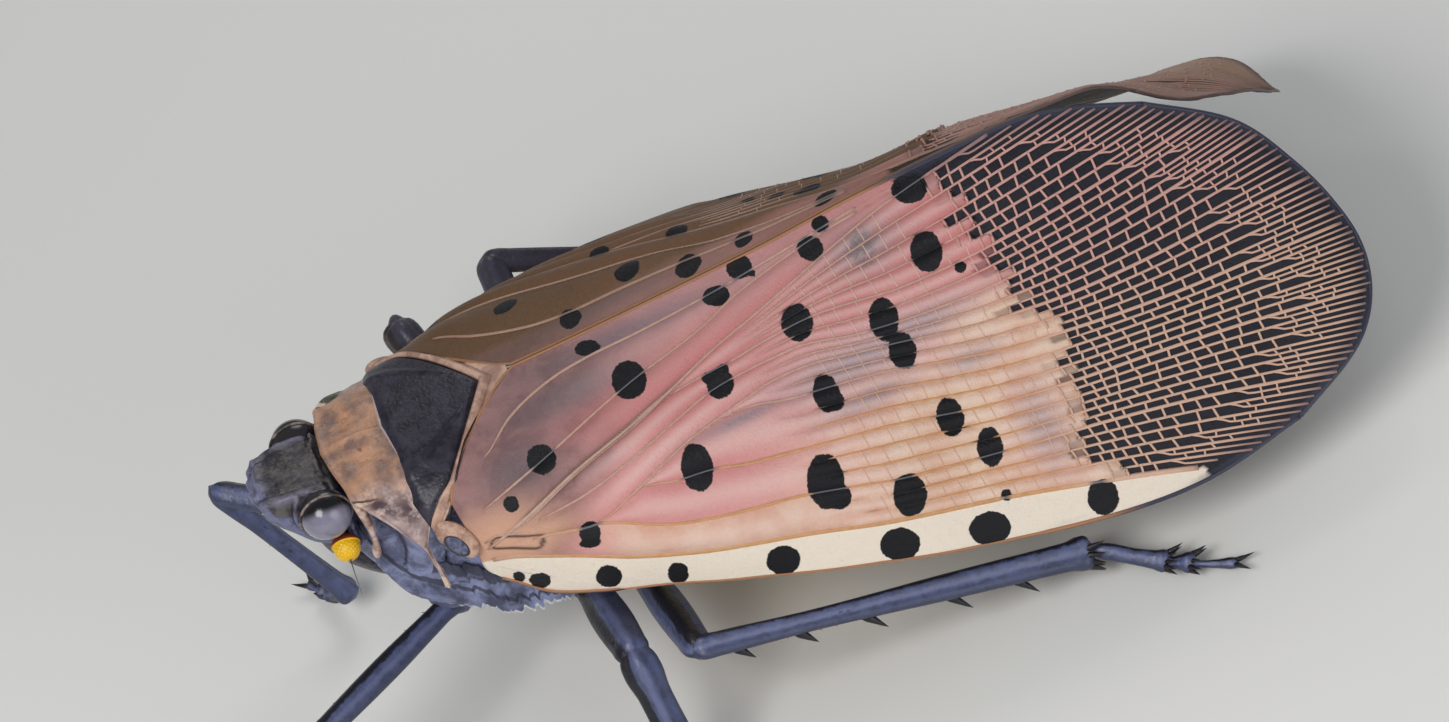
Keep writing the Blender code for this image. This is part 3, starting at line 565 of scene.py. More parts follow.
def limb(name, path, radii, columns=24, rows=60, keeled=0.0, back=(0.0, 0.0, 1.0)):
    """A rod along a path, closed at both ends. Marks its length, its upper side and its back edge, which on
    the legs get a painted highlight and painted shade.
    """
    piece, across, along = sheet_of(name, columns, rows)
    path = np.array(path, float)
    marks = np.concatenate(([0.0], np.cumsum(np.linalg.norm(np.diff(path, axis=0), axis=1))))
    marks /= marks[-1]
    share = np.linspace(0, 1, rows + 1)
    centre = np.column_stack([through(marks, path[:, i], share) for i in range(3)])
    radius = np.maximum(through(marks, radii, share), 0.0)
    ahead = np.gradient(centre, axis=0)
    ahead /= np.linalg.norm(ahead, axis=1)[:, None]
    up = np.array((0.0, 0.0, 1.0)) if abs(ahead[0, 2]) < 0.9 else np.array((1.0, 0.0, 0.0))
    ups = []
    for direction in ahead:
        up = up - direction * up.dot(direction)
        up = up / np.linalg.norm(up)
        ups.append(up)
    ups = np.array(ups)
    sides = np.cross(ahead, ups)
    row = np.rint(along * rows).astype(int)
    turn = 2 * math.pi * across
    size = radius[row] * (1 + keeled * np.cos(4 * turn))
    radial = sides[row] * np.cos(turn)[:, None] + ups[row] * np.sin(turn)[:, None]
    set_body_points(piece, centre[row] + radial * size[:, None])
    mark(piece, "length", along)
    mark(piece, "back", radial @ np.array(back))
    mark(piece, "upper", 0.5 + 0.5 * np.sin(turn))
    close_seams(piece)
    return piece


def beak_material():
    material, tree, shader = new_material("beak", 0.4)
    skin = cuticle(tree, 18.0, 4.0)
    colour = blend(tree, skin.outputs["Blotch"], (0.02, 0.017, 0.02), (0.09, 0.075, 0.1))
    joints = sums(tree, "SINE", times(tree, stored(tree, "length"), 19.0), 0.0)
    colour = blend(tree, step_up(tree, joints, 0.96, 1.0), colour, (0.16, 0.1, 0.08))
    cover(tree, shader, colour, skin, 0.015)
    return material


beak = limb("beak", BEAK_PATH, BEAK_RADII, 32, 90, 0.06)
fit(beak, beak_material(), ("rostrum",))


# Pronotum
# The saddle behind the head: a thin tan plate with blotched pink lobes down its sides, a keel
# along the middle and a dark, narrow rear border. It lies over the front of the thorax.
SADDLE_SHARE = (0.0, 0.2, 0.38, 0.55, 0.63, 0.72, 0.86, 1.0)
SADDLE_Y = (0.0, 0.95, 1.75, 2.28, 2.48, 2.66, 2.82, 2.86)
SADDLE_Z = (8.06, 8.02, 7.78, 7.31, 7.03, 6.7, 6.1, 5.5)
SADDLE_FRONT = (-4.42, -4.3, -4.05, -3.6, -3.4, -3.2, -3.12, -3.13)
SADDLE_REAR = (-2.88, -2.78, -2.63, -2.62, -2.84, -3.05, -3.03, -2.99)
SADDLE_THICKNESS = 0.09


def pronotum_material():
    material, tree, shader = new_material("pronotum", 0.42)
    skin = cuticle(tree, 14.0, 2.6)
    share, row = stored(tree, "share"), stored(tree, "row")
    cloud = step_up(tree, grain(tree, 1.6, 5.0, 0.55), 0.34, 0.64)
    tan = blend(tree, cloud, (0.2, 0.125, 0.105), (0.56, 0.29, 0.17))
    pink = blend(tree, cloud, (0.36, 0.26, 0.27), (0.72, 0.54, 0.48))
    tan = blend(tree, times(tree, skin.outputs["Blotch"], 0.25), tan, (0.62, 0.42, 0.32))
    lower = plus(tree, share, times(tree, grain(tree, 1.5), 0.25))
    colour = blend(tree, step_up(tree, lower, 0.36, 0.62), tan, pink)
    blots = step_up(tree, grain(tree, 3.4, 5.0, 0.65), 0.36, 0.56)
    bruise = times(tree, stored(tree, "bruise"), blots)
    colour = blend(tree, bruise, colour, (0.1, 0.06, 0.075))
    specks = step_up(tree, grain(tree, 9.0, 2.0, 0.5, 0.8), 0.66, 0.72)
    colour = blend(tree, times(tree, specks, 0.6), colour, (0.12, 0.07, 0.05))
    olive = times(tree, stored(tree, "olive"), step_up(tree, grain(tree, 2.5, 4.0), 0.3, 0.5))
    colour = blend(tree, olive, colour, (0.05, 0.055, 0.02))
    colour = blend(tree, step_up(tree, stored(tree, "tip"), 0.3, 0.7), colour, (0.78, 0.58, 0.45))
    colour = blend(tree, step_up(tree, row, 0.95, 0.965), colour, (0.55, 0.5, 0.55))
    colour = blend(tree, step_up(tree, row, 0.978, 0.99), colour, (0.03, 0.025, 0.03))
    colour = blend(tree, step_up(tree, stored(tree, "crease"), 0.4, 0.9), colour, (0.1, 0.06, 0.05))
    cover(tree, shader, colour, skin, 0.018)
    return material


pronotum, across, along = sheet_of("pronotum", 220, 54)
signed = 2 * across - 1
share, side = np.abs(signed), np.sign(signed)
y, z = through(SADDLE_SHARE, SADDLE_Y, share), through(SADDLE_SHARE, SADDLE_Z, share)
front, rear = through(SADDLE_SHARE, SADDLE_FRONT, share), through(SADDLE_SHARE, SADDLE_REAR, share)
front = front - 0.07 * ridge(share - 0.33, 0.05)
before, after = np.maximum(share - 0.02, 0), share + 0.02
run = through(SADDLE_SHARE, SADDLE_Y, after) - through(SADDLE_SHARE, SADDLE_Y, before)
rise = through(SADDLE_SHARE, SADDLE_Z, after) - through(SADDLE_SHARE, SADDLE_Z, before)
length = np.hypot(run, rise)
outward = np.column_stack((0 * share, -rise / length * side, run / length))
points = np.column_stack((front + (rear - front) * along, y * side, z))
dome = 0.1 * np.sin(math.pi * along) ** 0.7 * (1 - 0.5 * share)
keel = 0.05 * ridge(share, 0.012) * np.sin(math.pi * along)
lip = (0.05 * ridge(along - 0.04, 0.04) + 0.035 * ridge(along - 0.96, 0.03)) * (1 - ramp(0.6, 0.72, share))
pits = 0.1 * ridge(np.hypot((share - 0.13) * 9, (along - 0.42) * 3.2), 0.5)
pits += 0.12 * ridge(np.hypot((share - 0.37) * 10, (along - 0.25) * 3.0), 0.5)
pits += 0.09 * ridge(np.hypot((share - 0.52) * 9, (along - 0.5) * 2.6), 0.5)
crease_at = 0.34 + 0.1 * along
crease = ridge(share - crease_at, 0.012) * (1 - ramp(0.2, 0.5, along))
short_crease = 0.6 * ridge(share - 0.09 - 0.13 * along, 0.008)
crease += short_crease * ramp(0.25, 0.4, along) * (1 - ramp(0.55, 0.75, along))
rolls = 0.035 * np.sin(share * 19 + along * 4 + side) * np.sin(math.pi * along)
points += outward * (dome + keel + lip - pits - 0.05 * crease + rolls)[:, None]
set_body_points(pronotum, points)
mark(pronotum, "share", share)
mark(pronotum, "row", along)
bruise = ridge(np.hypot((share - 0.5) * 5, (along - 0.55) * 1.7), 0.62)
bruise += ridge(np.hypot((share - 0.42) * 9, (along - 0.2) * 4), 0.6)
bruise += 0.5 * ridge(np.hypot((share - 0.72) * 6, (along - 0.6) * 2), 0.6)
mark(pronotum, "bruise", np.clip(bruise, 0, 1))
olive = np.clip(side, 0, 1) * ramp(0.3, 0.42, share) * (1 - ramp(0.75, 0.9, share))
mark(pronotum, "olive", olive * (1 - ramp(0.25, 0.5, along)))
pale_fold = 0.8 * ridge(share - 0.36, 0.03) * (1 - ramp(0.1, 0.25, along))
mark(pronotum, "tip", ramp(0.88, 0.96, share) + pale_fold)
mark(pronotum, "crease", np.clip(crease, 0, 1))
pronotum.data.flip_normals()
use_modifier(pronotum, "SOLIDIFY", thickness=SADDLE_THICKNESS * MM, offset=-1.0)
use_modifier(pronotum, "BEVEL", width=0.03 * MM, segments=2, limit_method="ANGLE")
fit(pronotum, pronotum_material(), ("pronotum",))


# Mesonotum
# The dark slate shield between the wing bases, down to the pale tip of the scutellum. A raised
# tan border parts it from the wings.
SHIELD_FRONT_X = -3.1
SHIELD_TIP_X = 0.16
SLATE_C = (0.0, 0.38, 1.31, 2.51, 2.89, 4.5)
SLATE_X = (-0.58, -0.8, -1.36, -2.09, -2.48, -3.6)
EDGE_X = (-3.0, -2.34, -1.75, -1.38, -0.87, -0.13, 0.2)
EDGE_C = (4.3, 3.45, 2.32, 1.66, 0.99, 0.36, 0.05)
SHIELD_X = (-3.0, -0.9, 2.0)
SHIELD_EDGE = (5.0, 7.1, 8.67)
SHIELD_DROP = (2.45, 3.43, 3.92)
SHIELD_POWER = (2.5, 2.3, 2.0)
SHIELD_THICKNESS = 0.2


def mesonotum_material():
    material, tree, shader = new_material("mesonotum", 0.42)
    skin = cuticle(tree, 12.0, 2.4)
    slate = blend(tree, skin.outputs["Blotch"], (0.014, 0.012, 0.022), (0.038, 0.034, 0.054))
    stains = step_up(tree, grain(tree, 4.0, 3.0, 0.5, 0.6), 0.6, 0.7)
    slate = blend(tree, times(tree, stains, 0.8), slate, (0.012, 0.012, 0.018))
    tan = blend(tree, skin.outputs["Blotch"], (0.38, 0.22, 0.17), (0.66, 0.43, 0.33))
    border = stored(tree, "border")
    colour = blend(tree, step_up(tree, border, 0.0, 0.02), slate, (0.012, 0.01, 0.014))
    colour = blend(tree, step_up(tree, border, 0.03, 0.06), colour, tan)
    # Painted shadow: a dark line in the small groove on the border and in the gap where the shield meets
    # the wing.
    colour = blend(tree, step_up(tree, stored(tree, "gap_shadow"), 0.3, 0.8), colour, (0.02, 0.016, 0.02))
    cover(tree, shader, colour, skin, 0.011)
    return material


mesonotum, across, along = sheet_of("mesonotum", 150, 80)
signed = 2 * across - 1
wide = np.abs(signed)
x = SHIELD_FRONT_X + (SHIELD_TIP_X - SHIELD_FRONT_X) * along + (1 - along) * 0.35 * signed * signed
c = np.maximum(np.interp(x, EDGE_X, EDGE_C) + 0.02, 0.02) * wide


def shield_place(x, c, side):
    """A point on the back between the wings, as on their roof."""
    edge, drop = np.interp(x, SHIELD_X, SHIELD_EDGE), np.interp(x, SHIELD_X, SHIELD_DROP)
    power = np.interp(x, SHIELD_X, SHIELD_POWER)
    fall = drop * (c / edge) ** power
    return np.column_stack((x, side * (c - fall), 8.1 - fall))


side = np.where(signed < 0, -1.0, 1.0)
points = shield_place(x, c, side)
border = 0.8 * (x - np.interp(c, SLATE_C, SLATE_X))
lift = 0.08 * ridge(border - 0.13, 0.08) - 0.06 * ridge(border - 0.01, 0.04)
lift += 0.08 * (1 - wide ** 2) * (border < 0)
lift += 0.04 * ridge(wide - 0.45 - 0.1 * along, 0.05) * (border < -0.15) - 0.05 * ridge(border - 0.27, 0.03)
lift -= 0.22 * (1 - ramp(-3.1, -2.7, x))
points[:, 2] += lift
set_body_points(mesonotum, points)
mark(mesonotum, "border", border)
# Where the painted shadow lies: the groove on the border and the shield's edge beside the wing.
mark(mesonotum, "gap_shadow", np.maximum(0.6 * ridge(border - 0.27, 0.03), ramp(0.95, 0.98, wide)) * (x < 0.05))
mesonotum.data.flip_normals()
use_modifier(mesonotum, "SOLIDIFY", thickness=SHIELD_THICKNESS * MM, offset=-1.0)
fit(mesonotum, mesonotum_material(), ("mesonotum",))


# Tegulae
# A small oval scale of hard cuticle over each wing's hinge, tan round a slate-blue hollow. It is
# a flattened ball, and it hangs from the side of the shield.
TEGULA_PLACE = (-2.42, 2.98, 6.82)
TEGULA_HALF = (0.58, 0.33)
TEGULA_OUT = (-0.15, 0.9, 0.42)


def tegula_material():
    material, tree, shader = new_material("tegula", 0.4)
    skin = cuticle(tree, 16.0, 5.0)
    tan = blend(tree, skin.outputs["Blotch"], (0.36, 0.2, 0.15), (0.62, 0.4, 0.3))
    slate = blend(tree, skin.outputs["Blotch"], (0.05, 0.055, 0.1), (0.18, 0.2, 0.32))
    middle = stored(tree, "middle")
    colour = blend(tree, stored(tree, "low"), tan, slate)
    colour = blend(tree, step_up(tree, middle, 0.2, 0.45), colour, (0.03, 0.02, 0.022))
    colour = blend(tree, step_up(tree, middle, 0.6, 0.9), colour, slate)
    cover(tree, shader, colour, skin, 0.015)
    return material


tegula_finish = tegula_material()
for hand, side in (("left", -1), ("right", 1)):
    tegula, ball = ball_of(f"tegula_{hand}", 48)
    hollow = 1 - ramp(0.38, 0.72, np.hypot(ball[:, 0] - 0.12, ball[:, 1] * -side + 0.3))
    hollow *= ball[:, 2] > 0
    height = 0.17 * ball[:, 2] - 0.1 * hollow
    out = np.array(TEGULA_OUT) * (1, side, 1)
    out /= np.linalg.norm(out)
    long_way = np.array((0.47, 0.21 * side, -0.85))
    long_way -= out * long_way.dot(out)
    long_way /= np.linalg.norm(long_way)
    wide_way = np.cross(out, long_way)
    points = (np.array(TEGULA_PLACE) * (1, side, 1) + long_way * (ball[:, 0] * TEGULA_HALF[0])[:, None]
              + wide_way * (ball[:, 1] * TEGULA_HALF[1])[:, None] + out * height[:, None])
    set_body_points(tegula, points)
    mark(tegula, "middle", hollow)
    mark(tegula, "low", ramp(0.45, 0.8, ball[:, 1] * side + 0.25 * ball[:, 0]))
    close_seams(tegula)
    fit(tegula, tegula_finish, (f"tegula_{hand}",))


# Neck rims and flanks
# A cream fold stands between the head and the saddle on each side. Below it the waxy blue-grey
# side plate of the thorax hangs down, frayed into white wax along its lower edge.
NECK_PATH = (
    (-4.24, 0.8, 8.0), (-4.16, 1.15, 7.96), (-4.12, 1.5, 7.62), (-4.08, 1.62, 7.15),
    (-4.1, 1.62, 6.6), (-4.2, 1.52, 6.05), (-4.24, 1.42, 5.75),
)
NECK_RADII = (0.0, 0.07, 0.11, 0.1, 0.06, 0.1, 0.0)
FLANK_X = (-4.3, -4.05, -3.75, -3.0, -2.6, -2.0, -1.0, 0.2)
FLANK_Y = (1.4, 1.62, 1.8, 2.24, 2.46, 2.76, 2.92, 2.86)
FLANK_END = (5.5, 4.8, 4.4, 4.1, 3.95, 3.75, 3.6, 3.75)


def neck_material():
    material, tree, shader = new_material("neck_rim", 0.42)
    skin = cuticle(tree, 16.0, 4.0)
    colour = blend(tree, skin.outputs["Blotch"], (0.3, 0.17, 0.14), (0.74, 0.54, 0.46))
    cover(tree, shader, colour, skin, 0.02)
    return material


def flank_material():
    material, tree, shader = new_material("flank", 0.6)
    fine = grain(tree, 9.0, 5.0, 0.65)
    clouds = step_up(tree, grain(tree, 1.6, 5.0, 0.6), 0.34, 0.66)
    slate = blend(tree, clouds, (0.06, 0.066, 0.12), (0.26, 0.29, 0.48))
    shade = plus(tree, stored(tree, "shade"), times(tree, fine, 0.4))
    shade = times(tree, step_up(tree, shade, 0.6, 1.0), 0.8)
    slate = blend(tree, shade, slate, (0.02, 0.022, 0.04))
    wax = blend(tree, fine, (0.5, 0.53, 0.64), (0.92, 0.9, 0.88))
    frayed = times(tree, sums(tree, "SUBTRACT", fine, 0.5), 0.8)
    waxed = plus(tree, stored(tree, "wax"), frayed)
    colour = blend(tree, step_up(tree, waxed, 0.45, 0.75), slate, wax)
    tree.links.new(colour, shader.inputs["Base Color"])
    relief(tree, shader, fine, 0.012)
    return material


neck_finish, flank_finish = neck_material(), flank_material()
for hand, side in (("left", -1), ("right", 1)):
    rim = limb(f"neck_rim_{hand}", [(x, y * side, z) for x, y, z in NECK_PATH], NECK_RADII, 20, 50)
    fit(rim, neck_finish)
    flank, along, down = sheet_of(f"flank_{hand}", 220, 26)
    luck = random.Random(21)
    coarse = np.interp(along * 46, np.arange(47), [luck.uniform(-1, 1) for i in range(47)])
    fringe = np.interp(along * 110, np.arange(111), [luck.uniform(-1, 1) for i in range(111)])
    x = FLANK_X[0] + (FLANK_X[-1] - FLANK_X[0]) * along
    rear = ramp(-3.3, -2.2, x)
    end = through(FLANK_X, FLANK_END, x) + (0.11 * coarse + 0.06 * fringe) * (0.25 + 0.75 * rear)
    half = through(FLANK_X, FLANK_Y, x)
    z = end + 1.25 * (1 - down) ** 1.2
    y = half - 0.3 * (1 - down) ** 2 + 0.05 * np.sin(math.pi * down) - 0.06 * ramp(0.8, 1.0, down)
    folds = 0.03 * np.sin(4.0 * x + 5.0 * down) + 0.05 * ridge(down - 0.55 - 0.12 * (x + 2.0), 0.05)
    set_body_points(flank, np.column_stack((x, (y + folds * np.sin(math.pi * down)) * side, z)))
    mark(flank, "wax", ramp(0.7, 0.92, down) * (0.5 + 0.5 * rear))
    stripes = ridge(down - 0.5 - 0.12 * (x + 2.0), 0.05) + 0.7 * ridge(down - 0.3 + 0.1 * (x + 3.0), 0.03)
    mark(flank, "shade", np.clip(1 - ramp(0.1, 0.3, down) + stripes, 0, 1))
    use_modifier(flank, "SOLIDIFY", thickness=0.06 * MM, offset=0.0)
    fit(flank, flank_finish)


# Legs
# Six jointed legs, slate-blue to black with a waxy bloom. The bloom is lighter on the upper side as a
# painted highlight, one edge is painted in shade and the far legs are painted darker as shade. Each is one
# continuous skin from the coxa in the thorax to the foot, with spines down the hind shins and two claws on
# every foot.
LEG_JOINTS = {
    "fore_left": ((-3.15, -1.25, 3.4), (-7.1, -4.25, 4.3), (-5.5, -3.3, 0.75), (-6.6, -5.3, 0.2)),
    "fore_right": ((-3.15, 1.25, 3.4), (-7.1, 4.15, 4.3), (-5.35, 2.85, 0.75), (-6.2, 4.35, 0.2)),
    "mid_left": ((-0.25, -2.1, 2.8), (0.05, -5.5, 3.75), (0.15, -7.3, 0.8), (0.9, -9.4, 0.2)),
    "mid_right": ((-0.7, 2.0, 2.65), (-1.8, 5.85, 4.95), (-1.7, 7.1, 0.8), (-2.1, 9.2, 0.2)),
    "hind_left": ((0.95, -1.85, 2.35), (1.4, -5.75, 3.3), (10.2, -5.75, 0.8), (13.1, -7.4, 0.2)),
    "hind_right": ((0.55, 1.75, 2.35), (0.7, 6.85, 4.65), (9.0, 5.9, 0.8), (12.0, 7.3, 0.2)),
}
COXA_ROOT_Z = {"fore": 4.6, "mid": 3.9, "hind": 3.7}
FEMUR_RADIUS = {"fore": 0.33, "mid": 0.42, "hind": 0.38}
TIBIA_RADIUS = {"fore": 0.24, "mid": 0.35, "hind": 0.27}
SHIN_END = {"fore": 1.0, "mid": 1.0, "hind": 1.22}
# The direction that each kind of leg's shaded side faces: that edge is painted dark as shade, with a
# painted highlight band beside it.
SHADED_SIDE = {"fore": (0.0, 0.62, 0.78), "mid": (-0.95, 0.0, 0.2), "hind": (0.0, 0.62, 0.78)}
SHIN_SPINES = (0.09, 0.25, 0.42, 0.63, 0.8)
FOOT_RADIUS = 0.19


def leg_material(name, tone):
    material, tree, shader = new_material(name, 0.4)
    skin = cuticle(tree, 12.0, 2.6)
    place = add_node(tree, "ShaderNodeTexCoord").outputs["Object"]
    lines = add_node(tree, "ShaderNodeTexNoise", {
        "Vector": place, "Scale": 3.0 / MM, "Detail": 5.0, "Roughness": 0.7})
    dark = blend(tree, lines.outputs["Fac"], (0.018, 0.02, 0.034), (0.06, 0.068, 0.12))
    wax = plus(tree, times(tree, skin.outputs["Blotch"], 0.5), 0.35)
    # Lighter blue on the upper side of each leg: partly the waxy bloom, partly a painted highlight from
    # above.
    bloom_and_top_light = times(tree, step_up(tree, stored(tree, "upper"), 0.3, 0.9), wax)
    colour = blend(tree, bloom_and_top_light, dark, (0.1, 0.125, 0.27))
    # Painted shade: the side facing the back direction is painted near black, and the gleam is a painted
    # highlight band next to it.
    back = plus(tree, stored(tree, "back"), times(tree, lines.outputs["Fac"], 0.5))
    gleam = times(tree, step_up(tree, back, 0.1, 0.4), step_up(tree, back, 0.75, 0.5))
    colour = blend(tree, times(tree, gleam, 0.45), colour, (0.2, 0.22, 0.38))
    colour = blend(tree, step_up(tree, back, 0.85, 1.0), colour, (0.012, 0.012, 0.02))
    colour = blend(tree, stored(tree, "thorn"), colour, (0.012, 0.011, 0.016))
    # The far legs: the colour is drawn toward a dark brown as painted shade.
    if tone:
        colour = blend(tree, tone, colour, (0.035, 0.022, 0.02))
    cover(tree, shader, colour, skin, 0.012)
    return material


def thorn(root, direction, length, radius, sides=7):
    """A tapered, slightly curved spine as points and faces in body millimetres."""
    axis = np.array(direction, float) / np.linalg.norm(direction)
    first = np.cross(axis, (0.0, 0.0, 1.0)) if abs(axis[2]) < 0.9 else np.cross(axis, (1.0, 0.0, 0.0))
    first /= np.linalg.norm(first)
    second = np.cross(axis, first)
    rings = []
    for share, size in ((-0.1, 1.0), (0.15, 0.95), (0.45, 0.62), (0.75, 0.32), (1.0, 0.03)):
        turn = 2 * math.pi * np.arange(sides) / sides
        bend = -second * 0.08 * length * share ** 2
        rings.append(np.array(root) + axis * length * share + bend
                     + radius * size * (np.outer(np.cos(turn), first) + np.outer(np.sin(turn), second)))
    points = np.concatenate(rings)
    faces = [tuple(range(sides - 1, -1, -1)), tuple(range(4 * sides, 5 * sides))]
    for r in range(4):
        for i in range(sides):
            j = (i + 1) % sides
            faces.append((r * sides + i, r * sides + j, (r + 1) * sides + j, (r + 1) * sides + i))
    return points, faces


def add_thorns(name, thorns):
    """All the spines of one leg as one mesh."""
    points, faces, count = [], [], 0
    for spine_points, spine_faces in thorns:
        points.append(spine_points)
        faces += [tuple(i + count for i in face) for face in spine_faces]
        count += len(spine_points)
    piece = piece_of(name, np.concatenate(points), faces)
    mark(piece, "thorn", np.ones(count))
    close_seams(piece)
    return piece


def join(name, pieces):
    """Joins some pieces into the first and names it."""
    bpy.ops.object.select_all(action="DESELECT")
    for piece in pieces:
        piece.select_set(True)
    bpy.context.view_layer.objects.active = pieces[0]
    bpy.ops.object.join()
    pieces[0].name = name
    return pieces[0]


FOOT_HEIGHTS = ((0.3, 0.55), (0.42, 0.42), (0.49, 0.35), (0.53, 0.3), (0.6, 0.28), (0.66, 0.26), (0.7, 0.2),
                (0.84, 0.17), (0.97, 0.17), (1.0, 0.16))
FOOT_SWELL = (0.0, 0.95, 1.05, 1.2, 1.45, 0.75, 1.0, 1.35, 0.55, 0.55, 0.7, 0.0)


def foot_path(ankle, claw, shin):
    """The foot's three segments, from the end of the shin down to the floor."""
    flat = np.array((claw[0] - ankle[0], claw[1] - ankle[1], 0.0))
    length = np.linalg.norm(flat)
    flat /= length
    path = [ankle - shin * 0.1, ankle + flat * 0.2 + shin * 0.05]
    for share, height in FOOT_HEIGHTS:
        place = ankle + flat * length * share
        place[2] = min(height, ankle[2]) if share > 0.25 else ankle[2]
        path.append(place)
    return path, flat, length


# The right mid and hind legs, on the far side, take a copy of the leg material painted darker as shade.
leg_finish = {0: leg_material("leg", 0.0), 1: leg_material("leg_far_shaded", 0.75)}
for leg, joints in LEG_JOINTS.items():
    hip, knee, ankle, claw = (np.array(p, float) for p in joints)
    kind, hand = leg.split("_")
    luck = random.Random(leg)
    thigh, shin = (knee - hip) / np.linalg.norm(knee - hip), (ankle - knee) / np.linalg.norm(ankle - knee)
    r, q = FEMUR_RADIUS[kind], TIBIA_RADIUS[kind]
    root = np.array((hip[0] + 0.15, hip[1] * 0.85, COXA_ROOT_Z[kind]))
    coxa_path = (root, root * 0.5 + hip * 0.5, hip, hip + thigh * 0.25)
    coxa = limb("coxa", coxa_path, (0.0, 0.55, 0.46, 0.0), 24, 30)
    side = -1.0 if hand == "left" else 1.0
    back = SHADED_SIDE[kind]
    femur_path = (hip - thigh * 0.3, hip, hip + thigh * 0.5, hip * 0.5 + knee * 0.5,
                  knee - thigh * 0.5, knee, knee + thigh * 0.2)
    femur_radii = (0.0, 0.3, r * 0.86, r, r * 0.9, r * 0.76, 0.0)
    femur = limb("femur", femur_path, femur_radii, 28, 80, 0.1, back)
    tibia_path = (knee - shin * 0.25, knee, knee + shin * 0.45, knee * 0.7 + ankle * 0.3,
                  knee * 0.35 + ankle * 0.65, ankle - shin * 0.5, ankle - shin * 0.08,
                  ankle + shin * 0.12)
    wide = q * SHIN_END[kind]
    tibia_radii = (0.0, r * 0.72, q * 1.1, q * 0.94, wide * 0.98, wide * 1.08, wide * 1.2, 0.0)
    tibia = limb("tibia", tibia_path, tibia_radii, 28, 110, 0.16, back)
    path, flat, length = foot_path(ankle, claw, shin)
    f = FOOT_RADIUS
    swell = [f * size * (1.0 if kind == "hind" else 0.9) for size in FOOT_SWELL]
    foot = limb("foot", path, swell, 24, 110, 0.08, back)
    thorns = []
    sideways = np.array((-flat[1], flat[0], 0.0))
    if kind == "hind":
        outward = np.array((0.0, side, -1.0))
        outward -= shin * outward.dot(shin)
        outward /= np.linalg.norm(outward)
        across_shin = np.cross(shin, outward)
        for share in SHIN_SPINES:
            place = knee + (ankle - knee) * share + outward * q * 0.7
            length_here = 0.45 + 0.25 * share + luck.uniform(-0.03, 0.03)
            thorns.append(thorn(place, shin * 0.85 + outward * 0.75, length_here, 0.13))
        for i in range(8):
            angle = math.radians(-105 + 30 * i)
            radial = outward * math.cos(angle) + across_shin * math.sin(angle)
            thorns.append(thorn(ankle - shin * 0.12 + radial * q * 1.1, shin * 0.9 + radial * 0.5,
                                0.46 * luck.uniform(0.85, 1.15), 0.09))
    for step, count in ((4, 7), (7, 6)):
        middle = np.array(path[step])
        for i in range(count if kind == "hind" else 2):
            angle = math.radians(-95 + 190 * i / (count - 1) if kind == "hind" else -60 + 120 * i)
            radial = sideways * math.sin(angle) + np.array((0, 0, 1.0)) * math.cos(angle) * 0.6
            thorns.append(thorn(middle + radial * f * 1.0, flat * 0.9 + radial * 0.55,
                                (0.42 if kind == "hind" else 0.16) * luck.uniform(0.85, 1.1), 0.075))
    for turn_side in (-1, 1):
        claw_root = claw - flat * 0.05 + sideways * turn_side * 0.07
        thorns.append(thorn(claw_root, flat + sideways * turn_side * 0.45, 0.42, 0.065))
    for i in range(90):
        share = luck.uniform(0.08, 0.97)
        start, end, size = (hip, knee, r) if i % 2 else (knee, ankle, q)
        direction = thigh if i % 2 else shin
        angle = luck.uniform(0, 2 * math.pi)
        first = np.cross(direction, (0.0, 0.0, 1.0))
        first /= np.linalg.norm(first)
        radial = first * math.cos(angle) + np.cross(direction, first) * math.sin(angle)
        thorns.append(thorn(start + (end - start) * share + radial * size * 0.85, direction * 1.6 + radial,
                            luck.uniform(0.05, 0.1), 0.012, 3))
    piece = join(f"leg_{leg}", [femur, coxa, tibia, foot, add_thorns("thorns", thorns)])
    points = body_points(piece)
    points[:, 2] = np.maximum(points[:, 2], 0.0)
    set_body_points(piece, points)
    finish = leg_finish[0 if hand == "left" or kind == "fore" else 1]
    fit(piece, finish, (f"{leg}_femur", f"{leg}_tibia", f"{leg}_tarsus"))


# Forewing membranes
# Each forewing is one thin, pleated membrane laid like a roof over the back: pink and cream with
# black spots, and black between the veins of its netted tip. It hangs from the side of the thorax.
RIDGE_TOP = 8.1
MEMBRANE = 0.045
WING_GAP = 0.05
ROOF_X = (-3.0, -0.9, 2.0, 6.2, 8.8, 11.4, 13.4, 15.6, 17.4, 19.0)
ROOF_EDGE = (5.0, 7.1, 8.67, 10.7, 11.5, 12.2, 12.4, 12.0, 12.0, 12.0)
ROOF_DROP = (2.45, 3.43, 3.92, 5.0, 5.55, 6.0, 6.15, 6.12, 6.2, 6.7)
ROOF_POWER = (2.5, 2.3, 2.0, 1.5, 1.2, 1.15, 1.08, 1.02, 1.0, 1.0)
ROOF_MIDDLE = (0.0, 0.0, 0.0, -0.1, -0.3, -0.38, -0.3, 0.0, 0.5, 1.3)
WING_BASE = ((-2.2, 3.2), (-2.12, 4.4), (-2.14, 5.45), (-1.9, 5.95))
WING_TIP = (
    (15.45, 0.95), (17.1, 2.6), (17.95, 4.5), (18.55, 7.1), (18.4, 9.1), (17.6, 10.6),
    (15.7, 11.95),
)
WING_COSTA = (
    (-1.9, 5.95), (-0.88, 7.08), (2.04, 8.67), (6.23, 10.7), (10.73, 12.2), (13.3, 12.5),
    (15.7, 11.95),
)
EDGE_BENDS_X = 12.3
SCUTELLUM_END_X = 0.2
INNER_BULGE = 0.38

# The tip of the right wing is twisted, so that it shows beyond the left one.
TWIST_DEPTH = 0.62
TWIST_REACH = 3.2
TWIST_EDGE = (
    (14.4, 0.2), (15.45, 0.95), (17.1, 2.6), (17.95, 4.5), (18.55, 7.1),
)

